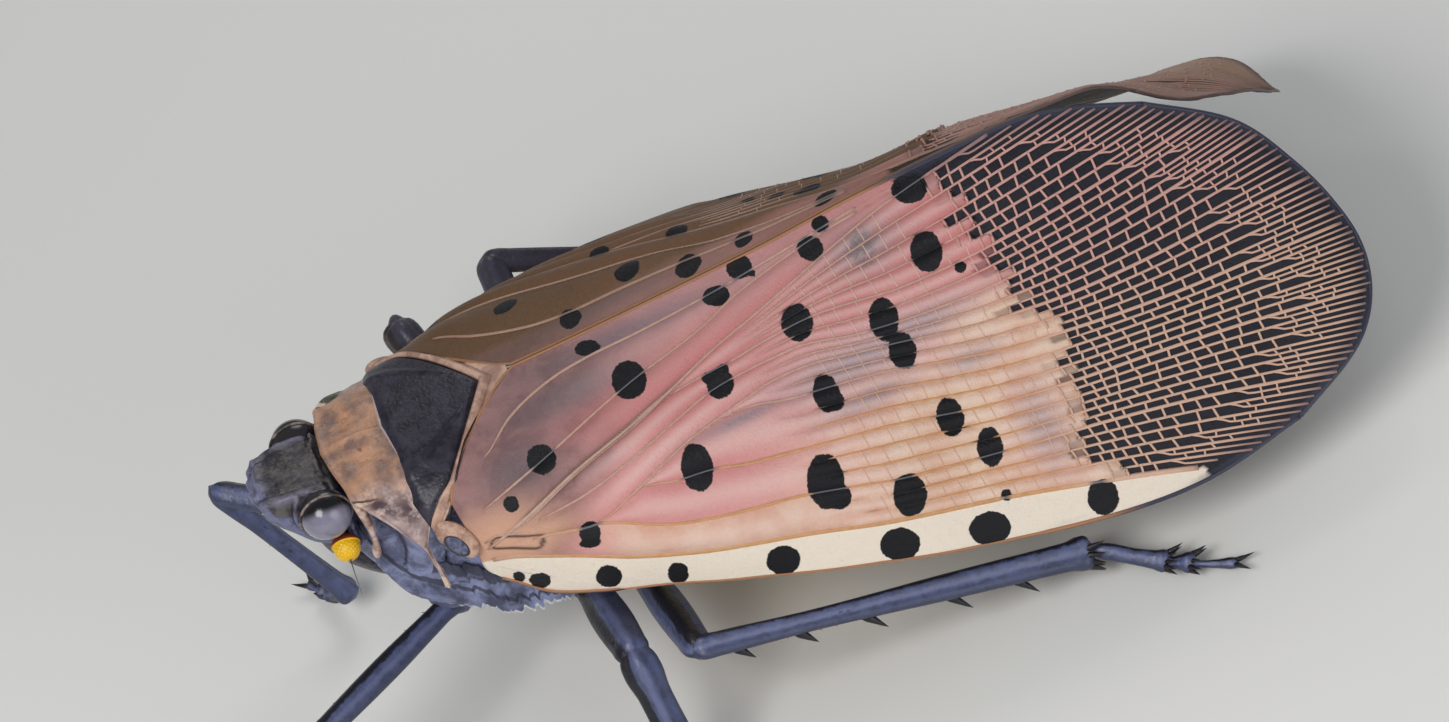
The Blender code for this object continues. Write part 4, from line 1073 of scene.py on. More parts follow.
# The main veins fan out from the wing's base. Each is a line of (x, c), where c counts from the
# middle of the back down the wing. The third is the deep fold, and the last the costal vein.
MAIN_VEINS = (
    ((-2.1, 2.4), (-1.12, 2.3), (-0.25, 1.5), (0.84, 1.0), (1.87, 0.81), (3.2, 0.76), (4.8, 0.66),
     (6.5, 0.42), (8.0, 0.2), (9.2, 0.02), (12.0, -0.5), (19.0, -2.4)),
    ((-2.1, 3.9), (-1.47, 3.71), (0.02, 3.13), (2.53, 2.08), (4.4, 1.52), (5.58, 0.95), (7.5, 0.42),
     (9.2, 0.16), (12.0, -0.4), (19.0, -2.2)),
    ((-2.1, 5.0), (-0.88, 4.57), (0.52, 3.91), (2.08, 3.35), (3.16, 2.87), (4.4, 2.28),
     (5.46, 1.87), (6.6, 1.4), (8.91, 0.5), (10.0, 0.2), (12.0, -0.25), (14.0, -0.7), (16.0, -1.15),
     (19.0, -1.8)),
    ((-2.1, 5.05), (-0.88, 4.62), (0.52, 3.96), (2.08, 3.4), (3.16, 2.98), (4.0, 2.85), (4.76, 2.8),
     (5.6, 2.68), (6.82, 2.6), (7.81, 2.75), (8.8, 2.95), (10.5, 2.98), (12.5, 2.8), (14.5, 2.5),
     (16.5, 2.1), (19.0, 1.5)),
    ((-2.1, 5.1), (-0.88, 4.8), (0.6, 4.65), (2.0, 4.2), (3.2, 3.7), (4.0, 3.4), (4.72, 3.3),
     (5.65, 3.27), (6.4, 3.3), (7.49, 3.68), (8.52, 3.9), (10.4, 4.1), (12.5, 4.05), (14.5, 3.85),
     (16.5, 3.5), (19.0, 3.0)),
    ((-2.1, 5.15), (-0.88, 5.15), (0.59, 5.6), (1.74, 5.16), (2.45, 4.8), (3.15, 4.48), (3.8, 4.28),
     (4.6, 4.07), (5.31, 3.91), (6.3, 3.93), (7.32, 4.21), (8.32, 4.5), (10.0, 5.0), (12.0, 5.35),
     (14.0, 5.4), (16.0, 5.3), (17.5, 5.25), (19.0, 5.2)),
    ((-2.1, 5.16), (-0.88, 5.17), (0.59, 5.62), (1.74, 5.18), (2.45, 4.82), (3.15, 4.5), (3.9, 4.3),
     (4.72, 4.33), (5.59, 4.64), (6.46, 4.82), (7.68, 5.1), (9.0, 5.6), (10.5, 6.1), (12.5, 6.5),
     (14.5, 6.75), (16.5, 6.85), (19.0, 7.0)),
    ((-2.1, 5.17), (-0.88, 5.19), (0.59, 5.64), (1.74, 5.2), (2.57, 5.45), (3.38, 5.61),
     (4.13, 5.92), (5.04, 6.15), (5.95, 6.37), (7.5, 6.78), (9.5, 7.45), (11.5, 7.9), (13.5, 8.2),
     (15.5, 8.55), (17.5, 9.0), (19.0, 9.4)),
    ((-2.1, 5.18), (-0.88, 5.21), (0.6, 5.66), (1.95, 6.55), (2.8, 6.95), (3.7, 7.22), (4.91, 7.54),
     (6.18, 8.02), (7.05, 8.36), (8.5, 8.75), (10.0, 9.1), (12.0, 9.55), (14.0, 10.1), (16.0, 10.8),
     (17.5, 11.4), (19.0, 12.1)),
    ((-2.1, 5.2), (-1.4, 5.45), (-0.77, 5.84), (0.82, 6.94), (2.21, 7.72), (3.4, 8.2), (5.11, 8.89),
     (6.67, 9.53), (8.88, 10.26), (11.05, 11.1), (13.0, 11.95), (15.0, 12.9), (17.0, 13.9),
     (19.0, 15.0)),
)
VEIN_FORKS_X = (-1.1, -1.6, -1.9, 3.3, -0.6, 0.55, 4.3, 1.75, -0.9, -1.9)
# The folds between one main vein and the next, and the rows of the net in each of those folds.
PLEATS = (1, 1, 4, 2, 2, 2, 3, 3, 3)
NET_ROWS = (1, 1, 2, 2, 2, 2, 2, 2, 2)
PLEAT_HEIGHT = 0.12
NET_START_C = (-1.0, 0.58, 2.89, 4.78, 6.17, 7.72, 9.63, 11.23, 12.5)
NET_START_X = (9.6, 10.35, 10.69, 10.93, 11.45, 11.18, 10.92, 11.25, 11.9)
NET_MIDDLE_X = 10.8
EARLY_FORK, EARLY_FORK_X = (7, 4), 1.75
SPOT_LEAN = math.radians(25)
SPOT_SQUASH = 0.7071
SMUDGE = (8.4, 1.35, 0.4, 0.8)
SPOTS = (
    (1.98, 0.54, 0.29, 0.25), (5.04, 0.79, 0.31, 0.35), (5.78, 0.24, 0.29, 0.41),
    (7.38, 0.67, 0.29, 0.41), (7.83, 0.1, 0.2, 0.28), (2.51, 2.07, 0.38, 0.63),
    (0.02, 3.13, 0.33, 0.47), (-0.99, 3.96, 0.18, 0.25), (0.32, 5.79, 0.24, 0.35),
    (4.3, 3.32, 0.31, 0.5), (6.42, 2.61, 0.36, 0.6), (3.06, 5.38, 0.36, 0.75),
    (5.51, 7.45, 0.42, 0.88), (6.33, 4.97, 0.29, 0.6), (8.18, 3.66, 0.33, 0.69),
    (8.27, 4.8, 0.31, 0.57), (4.1, 3.02, 0.13, 0.22), (4.5, 2.98, 0.12, 0.22),
    (0.24, 6.05, 0.24, 0.17), (5.62, 8.05, 0.3, 0.42), (6.45, 5.35, 0.2, 0.3),
    (5.98, 0.62, 0.08, 0.12), (9.94, 0.28, 0.4, 0.5), (9.69, 2.3, 0.36, 0.66),
    (10.23, 3.18, 0.13, 0.19), (8.6, 7.3, 0.31, 0.63), (9.13, 8.69, 0.29, 0.63),
    (7.07, 8.96, 0.38, 0.69), (9.02, 10.28, 0.13, 0.19), (-1.56, 6.15, 0.13, 0.19),
    (-1.15, 6.53, 0.24, 0.28), (0.26, 7.32, 0.29, 0.35), (1.68, 8.15, 0.24, 0.35),
    (3.92, 9.17, 0.38, 0.47), (6.42, 10.27, 0.44, 0.53), (8.38, 11.01, 0.47, 0.53),
    (10.95, 11.63, 0.36, 0.57),
)
GREY_PATCHES = (
    (7.2, 4.5, 1.9, 0.75), (0.9, 1.7, 1.5, 0.6), (-0.5, 3.1, 0.9, 0.9), (10.4, 8.8, 0.7, 1.9),
    (8.4, 1.3, 0.9, 0.8), (2.6, 0.6, 2.6, 0.4), (9.6, 5.9, 0.9, 0.5), (4.4, 4.6, 1.2, 0.25),
    (8.9, 4.3, 1.5, 0.55), (7.2, 5.7, 1.3, 0.45),
)
FAR_SPOTS = (
    (0.67, 2.05, 0.3, 0.28), (1.89, 0.58, 0.26, 0.34), (3.08, 2.95, 0.26, 0.4), (3.5, 1.18, 0.32, 0.32),
    (4.85, 2.25, 0.28, 0.32), (4.77, 0.42, 0.32, 0.37), (6.13, 0.38, 0.24, 0.26), (6.61, 2.95, 0.19, 0.3),
    (7.23, 2.2, 0.25, 0.25), (7.92, 1.63, 0.36, 0.35), (8.17, 0.28, 0.3, 0.25),
) + tuple(spot for spot in SPOTS if spot[1] > 3.6)


def on_roof(x, c, side, lift=0.0):
    """Points of the wings' roof at (x, c), raised by a lift. Side is -1 for left and 1 for right."""
    def bare(x, c):
        edge, drop = through(ROOF_X, ROOF_EDGE, x), through(ROOF_X, ROOF_DROP, x)
        power, middle = through(ROOF_X, ROOF_POWER, x), through(ROOF_X, ROOF_MIDDLE, x)
        fall = middle + (drop - middle) * (np.maximum(c - middle, 0.0) / (edge - middle)) ** power
        if side > 0:
            far = np.maximum(c - through(*zip(*TWIST_EDGE), x), 0.0)
            fall = fall + TWIST_DEPTH * ramp(14.4, 16.8, x) * np.exp(-(far / TWIST_REACH) ** 2)
        return np.column_stack((x, side * (c - fall), RIDGE_TOP - fall))

    x, c = np.asarray(x, float), np.asarray(c, float)
    reach = 0.04
    along = bare(x + reach, c) - bare(x - reach, c)
    across = bare(x, c + reach) - bare(x, c - reach)
    normal = np.cross(along, across)
    normal /= np.linalg.norm(normal, axis=1)[:, None]
    normal *= np.sign(normal[:, 2])[:, None]
    return bare(x, c) + normal * np.broadcast_to(lift, x.shape)[:, None], normal


def on_chain(corners, share):
    """Places on a smooth chain of (x, c) corners, at shares of its length."""
    corners = np.array(corners)
    marks = np.concatenate(([0.0], np.cumsum(np.linalg.norm(np.diff(corners, axis=0), axis=1))))
    marks /= marks[-1]
    return through(marks, corners[:, 0], share), through(marks, corners[:, 1], share)


def inner_edge(share):
    """The wing's inner edge: past the scutellum, along the midline, then out to the tip."""
    start, tip = np.array(WING_BASE[0]), np.array(WING_TIP[0])
    meet = np.array((SCUTELLUM_END_X, WING_GAP))
    slant = np.linalg.norm(meet - start)
    at = share * (slant + tip[0] - meet[0])
    t = np.clip(at / slant, 0, 1)
    bulge = INNER_BULGE * np.sin(math.pi * t) ** 0.85
    x = np.where(at < slant, start[0] + (meet[0] - start[0]) * t - bulge, meet[0] + at - slant)
    late = np.clip((x - EDGE_BENDS_X) / (tip[0] - EDGE_BENDS_X), 0, 1)
    ridge = through(ROOF_X, ROOF_MIDDLE, x) + WING_GAP
    c = np.where(at < slant, start[1] + (meet[1] - start[1]) * t, ridge + (tip[1] - ridge) * late ** 2)
    return x, c


def wing_place(u, v, inner, costa, base, tip):
    """Where a wing's own (u, v) lies as (x, c): u from base to tip, v from inner edge to costa."""
    start, end = on_chain(base, v), on_chain(tip, v)
    result = []
    for i in (0, 1):
        corners = (base[0][i] * (1 - u) * (1 - v) + base[-1][i] * (1 - u) * v
                   + tip[0][i] * u * (1 - v) + tip[-1][i] * u * v)
        result.append(inner[i] * (1 - v) + costa[i] * v + start[i] * (1 - u) + end[i] * u - corners)
    return result


def vein_lines(x):
    """The c of every main vein at x, in order down the wing and never crossing."""
    x = np.asarray(x, float)
    lines = []
    for vein in MAIN_VEINS:
        vein_x, vein_c = zip(*vein)
        lines.append(through(vein_x, vein_c, x))
    return np.maximum.accumulate(np.array(lines) + np.arange(len(lines))[:, None] * 0.004, axis=0)


def row_c(row, x):
    """The c of a row at x. A row is a number: 2.5 runs half way between the third vein and the fourth."""
    lines = vein_lines(x)
    k = min(int(row), len(MAIN_VEINS) - 2)
    return lines[k] + (row - k) * (lines[k + 1] - lines[k])


def net_start(row):
    """The x where the net starts on a row."""
    return np.interp(row_c(row, np.array([NET_MIDDLE_X]))[0], NET_START_C, NET_START_X)


def rows_at(x, c):
    """The row number of each place, with the room between its two main veins."""
    lines = vein_lines(x)
    row, room = np.full(x.shape, -1.0), np.full(x.shape, 1.0)
    for k in range(len(MAIN_VEINS) - 1):
        here = (c >= lines[k]) & (c < lines[k + 1])
        width = lines[k + 1] - lines[k]
        row = np.where(here, k + (c - lines[k]) / width, row)
        room = np.where(here, width, room)
    below = c >= lines[-1]
    return np.where(below, len(MAIN_VEINS) - 1 + (c - lines[-1]), row), room


OUTLINE_STEPS = np.linspace(0, 1, 400)
inner_line, costa_line = inner_edge(OUTLINE_STEPS), on_chain(WING_COSTA, OUTLINE_STEPS)
tip_line = on_chain(WING_TIP, OUTLINE_STEPS)
far_end = int(np.argmax(tip_line[0]))
upper_x = np.concatenate((inner_line[0], tip_line[0][:far_end + 1]))
upper_c = np.concatenate((inner_line[1], tip_line[1][:far_end + 1]))
lower_x = np.concatenate((costa_line[0], tip_line[0][:far_end - 1:-1]))
lower_c = np.concatenate((costa_line[1], tip_line[1][:far_end - 1:-1]))


def in_wing(x, c, room=0.0):
    """True where (x, c) is inside the wing's outline by that much room."""
    above, below = np.interp(x, upper_x, upper_c), np.interp(x, lower_x, lower_c)
    return (c > above + room) & (c < below - room) & (x < tip_line[0][far_end] - room)


def rim_distance(x, c):
    """The distance in millimetres of each place from the free edge of the wing."""
    edge = np.column_stack((np.concatenate((inner_line[0], tip_line[0], costa_line[0])),
                            np.concatenate((inner_line[1], tip_line[1], costa_line[1]))))[::4]
    nearest = np.full(x.shape, 9.0)
    for edge_x, edge_c in edge:
        nearest = np.minimum(nearest, (x - edge_x) ** 2 + (0.75 * (c - edge_c)) ** 2)
    return np.sqrt(nearest)


chance = random.Random(11)
# Each row is its number, where it starts and where it ends.
rows = []
for k, (pleats, splits) in enumerate(zip(PLEATS, NET_ROWS)):
    for j in range(pleats * splits):
        row = k + j / (pleats * splits)
        reach = np.arange(-1.9, 19.0, 0.02)
        inside = in_wing(reach, row_c(row, reach))
        net_x = net_start(row)
        if j == 0:
            start = VEIN_FORKS_X[k]
        elif j % splits == 0:
            fork = EARLY_FORK_X if (k, j) == EARLY_FORK else None
            start = fork or chance.uniform(*((7.0, 7.9) if k == 8 else (4.1, 6.0)))
        else:
            start = net_x + chance.uniform(-0.9, 0.25)
        after = reach[inside & (reach > max(start, 0.0))]
        end = after[-1] if len(after) else start
        rows.append((row, start, min(end, 8.7) if k < 2 else end))
# Each gap between two rows: the rows, where the net starts, the cross veins, where it splits and ends.
net_gaps = []
for (row_a, start_a, end_a), (row_b, start_b, end_b) in zip(rows, rows[1:] + [(9.0, -1.9, 13.4)]):
    middle = (row_a + row_b) / 2
    start, end = max(start_a, start_b), min(end_a, end_b) if row_a >= 2 else 0.0
    net_x = net_start(middle)
    if end < net_x + 0.4:
        net_gaps.append((row_a, row_b, net_x, [], None, end))
        continue
    split = max(max(end_a, end_b) - chance.uniform(1.6, 2.6), net_x + 0.8)
    crossings, at = [], max(start + 0.1, 6.2 + chance.uniform(0.0, 0.5))
    while at < split - 0.12:
        crossings.append(at)
        pace = 0.45 if at < net_x - 0.6 else 0.3 if at < net_x + 1.1 else 0.43
        at += pace * chance.uniform(0.82, 1.2)
    net_gaps.append((row_a, row_b, net_x + chance.uniform(-0.28, 0.3), crossings, split, end))


def net_at(x, c, row):
    """1 in the black net and 0 in front of it."""
    net = np.zeros_like(x)
    for row_a, row_b, net_x, crossings, split, end in net_gaps:
        here = (row >= row_a) & (row < row_b)
        steps = np.array([v for v in crossings if v > net_x] or [net_x])
        begin = 9.7 if row_a < 2 else steps[0]
        net = np.where(here & (x > begin), 1.0, net)
        net = np.where(here & (x > begin - 0.36) & (x <= begin), 0.75 * (row_a * 7.31 % 1.0) ** 2, net)
    net = np.where((row < 0) & (x > 9.7), 1.0, net)
    return np.where((row >= 9.0), (x > 13.2 + 0.4 * (c - 12.0)) * 1.0, net)


def pleat_height(x, c, row, room, net):
    """How far the pleats raise the membrane, with their plain shape from 0 to 1."""
    pleats = np.array(PLEATS + (1,))[np.clip(row.astype(int), 0, len(PLEATS))]
    half = np.where(pleats > 1, ramp(4.8, 6.2, x), 0.0)
    whole_fold = np.sin(math.pi * (row % 1.0)) ** 0.8
    half_fold = np.sin(math.pi * ((row * pleats) % 1.0)) ** 0.8
    shape = whole_fold * (1 - half) + half_fold * half
    pleated = (row >= 0) & (row < 9.0)
    width = np.minimum(room / (1 + (pleats - 1) * half), 0.8)
    height = PLEAT_HEIGHT * width / 0.8 * shape * (1 - 0.85 * net) * ramp(-1.9, -0.6, x)
    return np.where(pleated, height, 0.0) - 0.03 * net, shape


def wave_of(x, c, side):
    """The soft waves of a whole wing, as a height."""
    return 0.03 * np.sin(x * 1.7 + c * 0.8 + side) * np.sin(c * 1.3) * ramp(0.2, 1.5, c)


def membrane_material(name, far_side_shade):
    """Wing membrane: colours by the marks on its points, fine wrinkles and a soft waxy gloss."""
    material, tree, shader = new_material(name, 0.42)
    fine, wide = grain(tree, 9.0, 5.0, 0.65), grain(tree, 1.1, 4.0, 0.6, 0.4)
    base = blend(tree, step_up(tree, wide, 0.38, 0.62), (0.24, 0.125, 0.125), (0.38, 0.205, 0.2))
    light = blend(tree, fine, (0.7, 0.31, 0.31), (0.84, 0.44, 0.42))
    colour = blend(tree, stored(tree, "light"), base, light)
    salmon = times(tree, stored(tree, "salmon"), plus(tree, wide, 0.5), True)
    colour = blend(tree, salmon, colour, (0.62, 0.22, 0.22))
    greyed = times(tree, stored(tree, "grey"), plus(tree, fine, 0.42), True)
    ash = blend(tree, stored(tree, "light"), (0.17, 0.125, 0.14), (0.3, 0.23, 0.27))
    colour = blend(tree, greyed, colour, ash)
    cream = blend(tree, step_up(tree, wide, 0.35, 0.65), (0.74, 0.44, 0.3), (0.82, 0.6, 0.45))
    colour = blend(tree, stored(tree, "cream"), colour, cream)
    colour = blend(tree, stored(tree, "tan"), colour, (0.68, 0.39, 0.27))
    colour = blend(tree, stored(tree, "strip"), colour, (0.9, 0.8, 0.68))
    streaks = step_up(tree, grain(tree, 16.0, 6.0, 0.7, 1.5), 0.56, 0.72)
    colour = blend(tree, times(tree, streaks, 0.35), colour, (0.3, 0.17, 0.15))
    # Painted highlight along the crests of the pleats.
    colour = blend(tree, times(tree, stored(tree, "crest_highlight"), 0.3), colour, (0.95, 0.78, 0.72))
    # Pleat valleys: partly the veins' own orange-brown tint, partly painted shade.
    colour = blend(tree, times(tree, stored(tree, "valley_tint_and_shade"), 0.75), colour, (0.4, 0.17, 0.075))
    colour = blend(tree, times(tree, stored(tree, "fold"), 0.8), colour, (0.15, 0.095, 0.075))
    colour = blend(tree, stored(tree, "cell"), colour, (0.07, 0.035, 0.03))
    smudge = times(tree, stored(tree, "smudge"), step_up(tree, fine, 0.3, 0.6))
    colour = blend(tree, times(tree, smudge, 0.7), colour, (0.17, 0.155, 0.17))
    # The far wing is painted browner and darker as shade, more so away from the midline.
    if far_side_shade:
        umber_shade = blend(tree, fine, (0.1, 0.05, 0.018), (0.18, 0.095, 0.04))
        shaded = times(tree, stored(tree, "umber_shade"), 0.45)
        colour = blend(tree, plus(tree, shaded, far_side_shade, True), colour, umber_shade)
    cell = blend(tree, fine, (0.006, 0.006, 0.011), (0.02, 0.02, 0.033))
    # On the far wing the net cells are painted browner too, as shade.
    if far_side_shade:
        cell = blend(tree, fine, (0.012, 0.007, 0.005), (0.05, 0.026, 0.014))
    colour = blend(tree, stored(tree, "net"), colour, cell)
    wobble = times(tree, sums(tree, "SUBTRACT", grain(tree, 3.5, 3.0), 0.5), 0.1)
    ragged = times(tree, sums(tree, "SUBTRACT", grain(tree, 16.0, 2.0), 0.5), 0.05)
    edge = plus(tree, plus(tree, stored(tree, "spot"), wobble), ragged)
    colour = blend(tree, step_up(tree, edge, -0.012, 0.012), colour, (0.004, 0.004, 0.007))
    colour = blend(tree, stored(tree, "rim"), colour, (0.035, 0.037, 0.06))
    tree.links.new(colour, shader.inputs["Base Color"])
    gloss = plus(tree, times(tree, fine, 0.3), 0.28)
    tree.links.new(gloss, shader.inputs["Roughness"])
    height = plus(tree, grain(tree, 24.0, 4.0, 0.6), grain(tree, 6.0, 3.0, 0.5, 1.0))
    relief(tree, shader, height, 0.02)
    shader.inputs["Specular IOR Level"].default_value = 0.3
    return material


def paint_wing(piece, x, c, spots):
    """Works out the wing's markings at every point, with the painted highlights and shade of its pleats and
    of the far wing.
    """
    row, room = rows_at(x, c)
    net = net_at(x, c, row)
    height, shape = pleat_height(x, c, row, room, net)
    lean_x, lean_c = np.cos(SPOT_LEAN), np.sin(SPOT_LEAN)
    spot = np.full(x.shape, -1.0)
    for place_x, place_c, half_x, half_c in spots + (SMUDGE,):
        p = (x - place_x) * lean_x + SPOT_SQUASH * (c - place_c) * lean_c
        q = (x - place_x) * lean_c - SPOT_SQUASH * (c - place_c) * lean_x
        p, q = p * 0.99 + q * 0.14, q * 0.99 - p * 0.14
        depth = (1 - np.hypot(p / half_x, q / (SPOT_SQUASH * half_c))) * min(half_x, half_c)
        if place_x == SMUDGE[0]:
            mark(piece, "smudge", ramp(-0.05, 0.25, depth))
        else:
            spot = np.maximum(spot, depth)
    mark(piece, "spot", spot)
    salmon_c = through((-1.5, 0.64, 2.74, 5.41, 8.08, 10.07, 10.9), (3.3, 2.7, 3.0, 2.7, 1.9, 2.0, 2.6), x)
    width = through((-1.5, 1.0, 4.0, 8.0, 11.0), (0.7, 0.9, 1.3, 1.7, 2.2), x)
    salmon = np.exp(-(np.abs(c - salmon_c) / width) ** 3) * ramp(-0.6, 3.0, x)
    salmon = np.maximum(salmon, 0.6 * np.exp(-((x - 2.8) / 2.6) ** 2 - ((c - 5.7) / 1.2) ** 2))
    mark(piece, "salmon", salmon)
    grey = np.zeros_like(x)
    for place_x, place_c, reach_x, reach_c in GREY_PATCHES:
        grey = np.maximum(grey, np.exp(-((x - place_x) / reach_x) ** 2 - ((c - place_c) / reach_c) ** 2))
    mark(piece, "grey", grey * 0.9)
    cream = ramp(3.2, 8.6, x + 0.35 * (c - 7)) * ramp(4.3, 6.3, c)
    cream = np.maximum(cream, ramp(8.6, 9.8, x) * ramp(3.6, 4.8, c))
    cream = np.maximum(cream, 0.75 * ramp(7.9, 8.05, row) * ramp(-0.2, 1.4, x))
    mark(piece, "cream", cream * (1 - 0.8 * grey))
    # How far from the midline the far wing's painted shade deepens.
    mark(piece, "umber_shade", ramp(0.5, 1.0, c))
    light = ramp(0.3, 1.9, x + 0.9 * (c - 4.4)) * ramp(3.4, 4.6, c + 0.25 * x)
    mark(piece, "light", np.maximum(light, 0.6 * ramp(0.8, 3.6, x)))
    tan = (1 - ramp(-1.7, 0.4, x)) * ramp(3.2, 4.6, c)
    mark(piece, "tan", tan + 0.6 * np.exp(-((x + 0.3) / 0.7) ** 2 - ((c - 5.2) / 0.4) ** 2))
    lines = vein_lines(x)
    mark(piece, "strip", ramp(-0.02, 0.07, c - lines[-1]))
    fold = np.exp(-((c - lines[2]) / 0.13) ** 4) * ramp(-1.2, -0.7, x) * (1 - ramp(2.4, 4.6, x))
    mark(piece, "fold", fold)
    along, off = (x + 1.7) * 0.875 + (c - 4.85) * 0.484, (c - 4.85) * 0.875 - (x + 1.7) * 0.484
    past = np.maximum(np.abs(along - 0.54) - 0.45, 0.0)
    cell = np.exp(-((np.hypot(past, off) - 0.17) / 0.04) ** 2)
    mark(piece, "cell", np.maximum(cell, np.exp(-((along - 1.12) / 0.05) ** 2 - (off / 0.15) ** 2)))
    mark(piece, "net", net)
    rim = (1 - ramp(0.1, 0.2, rim_distance(x, c))) * ramp(9.5, 10.5, x)
    mark(piece, "rim", rim * (1 - ramp(11.6, 12.0, c) * (1 - ramp(12.5, 14.0, x))))
    pleated = (row >= 0) & (row < 9.0)
    # Painted highlight along the pleat crests, weaker on the broad folds.
    broad = np.where(row < 2.0, 0.3, 1.0)
    mark(piece, "crest_highlight", np.where(pleated, shape ** 4, 0.0) * (1 - net) * ramp(0.0, 2.0, x) * broad)
    # Darker orange-brown in the pleat valleys: partly the veins' own tint, partly painted shade.
    deep = np.where(pleated, ramp(0.75, 1.0, 1 - shape), 0.0)
    mark(piece, "valley_tint_and_shade", deep * (1 - net) * ramp(0.0, 2.0, x))
    return height


wings = []
# The right wing takes a darker, browner copy of the membrane: painted shade.
for hand, side, far_side_shade in (("left", -1, 0.0), ("right", 1, 0.5)):
    wing, v, u = sheet_of(f"wing_{hand}", 166, 238)
    x, c = wing_place(u, v, inner_edge(u), on_chain(WING_COSTA, u), WING_BASE, WING_TIP)
    height = paint_wing(wing, x, c, SPOTS if side < 0 else FAR_SPOTS)
    points, normal = on_roof(x, c, side, height + wave_of(x, c, side))
    points[:, 1] = side * np.maximum(side * points[:, 1], WING_GAP)
    set_body_points(wing, points)
    if side > 0:
        wing.data.flip_normals()
    use_modifier(wing, "SOLIDIFY", thickness=MEMBRANE * MM, offset=-1.0)
    fit(wing, membrane_material(f"membrane_{hand}", far_side_shade), (f"forewing_{hand}",))
    wings.append(wing)


# Wing veins
# Hard, thin ribs that stand on the membrane: orange main veins, and over the tip a close net of
# pink ones, with cross veins like bricks in a wall. The joined ribs of one wing are one piece.
RIB_WIDTH = 0.046
RIB_HEIGHT = 0.04
RIB_ROOT = 0.03
NET_TONE_START = -1.2


def cross_vein(a, b, x):
    """The c of a short rib from row a to row b, at its seven x."""
    return np.array([row_c(a + (b - a) * i / 6, x[i:i + 1])[0] for i in range(7)])


def rib_lines():
    """Every rib as its points (x, c), its half width, its height and its kind of edge.

    The last is 0 for a rib along the wing, 0.4 for a base vein, 0.5 for a cross vein and 1 for the
    wing's own edge.
    """
    lines = []
    for row, start, end in rows:
        if end < start + 0.3:
            continue
        x = np.arange(start, end + 0.001, 0.16)
        c = row_c(row, x)
        taper = np.minimum(1.0, 0.35 + (x - start) * 0.9)
        size = 1.25 if row == int(row) else 1.0
        swell = size * (1 + 0.5 * (1 - ramp(-1.0, 3.0, x))) if row in (2.0, 8.0) else size
        lines.append((x, c, RIB_WIDTH * taper * swell * np.where(x > 11, 0.9, 0.76), RIB_HEIGHT, 0.0))
    x = np.arange(-1.9, 13.3, 0.16)
    lines.append((x, row_c(9.0, x), RIB_WIDTH * 1.7 * np.ones_like(x), 0.035, 0.0))
    for shift in (-0.08, 0.09):
        x = np.arange(-1.0, 3.6, 0.16)
        c = row_c(2.0, x) + shift * (1 - ramp(2.0, 3.6, x))
        lines.append((x, c, 0.028 * np.ones_like(x), 0.03, 0.4))
    x = np.array((-1.9, -1.6, -1.1, -0.6, -0.5, -0.62))
    lines.append((x, np.array((4.72, 4.66, 4.9, 5.14, 5.4, 5.62)), 0.03 * np.ones(6), 0.03, 0.4))
    luck = random.Random(5)
    for row_a, row_b, net_x, crossings, split, end in net_gaps:
        if split is None:
            continue
        spans = [(row_a, row_b, crossings)]
        middle = (row_a + row_b) / 2
        near_rim = end - luck.uniform(0.6, 1.1)
        for a, b in ((row_a, middle), (middle, row_b)):
            at, places = split + luck.uniform(0.36, 0.6), []
            while at < near_rim:
                places.append(at)
                at += luck.uniform(0.32, 0.56)
            spans.append((a, b, places))
        x = np.arange(split, end + 0.3, 0.14)
        c = row_c(middle, x)
        keep = in_wing(x, c)
        if keep.sum() > 2:
            x, c = x[keep], c[keep]
            fork = ramp(0.0, 0.35, x - split)
            c = row_c(row_a, x) * (1 - fork) + c * fork
            lines.append((x, c, RIB_WIDTH * 0.72 * np.ones_like(x), RIB_HEIGHT, 0.0))
        for a, b, places in spans:
            for at in places:
                lean = luck.uniform(-0.02, 0.035)
                x = np.linspace(at - lean, at + lean, 7)
                c = cross_vein(a, b, x)
                if not in_wing(x, c).all():
                    continue
                pale = at < net_x - 0.25
                width = 0.02 if pale else RIB_WIDTH * (0.8 if at < split else 0.66)
                lines.append((x, c, width * np.ones(7), 0.014 if pale else RIB_HEIGHT * 0.9, 0.5))
    for k in range(2, 9):
        for j in range(PLEATS[k]):
            a, b = k + j / PLEATS[k], k + (j + 1) / PLEATS[k]
            net_x = net_start(a)
            at = 6.3 + luck.uniform(0.0, 0.4)
            while at < net_x - 0.9:
                x = np.full(7, at) + np.linspace(-0.02, 0.02, 7)
                c = cross_vein(a, b, x)
                lines.append((x, c, 0.02 * np.ones(7), 0.014, 0.5))
                at += luck.uniform(0.36, 0.56)
    for edge in (inner_line, tip_line, costa_line):
        x, c = np.append(edge[0][::6], edge[0][-1]), np.append(edge[1][::6], edge[1][-1])
        width = np.where(x > 9.5, 0.06, 0.045)
        lines.append((x, c, width, 0.02, 1.0))
    return lines


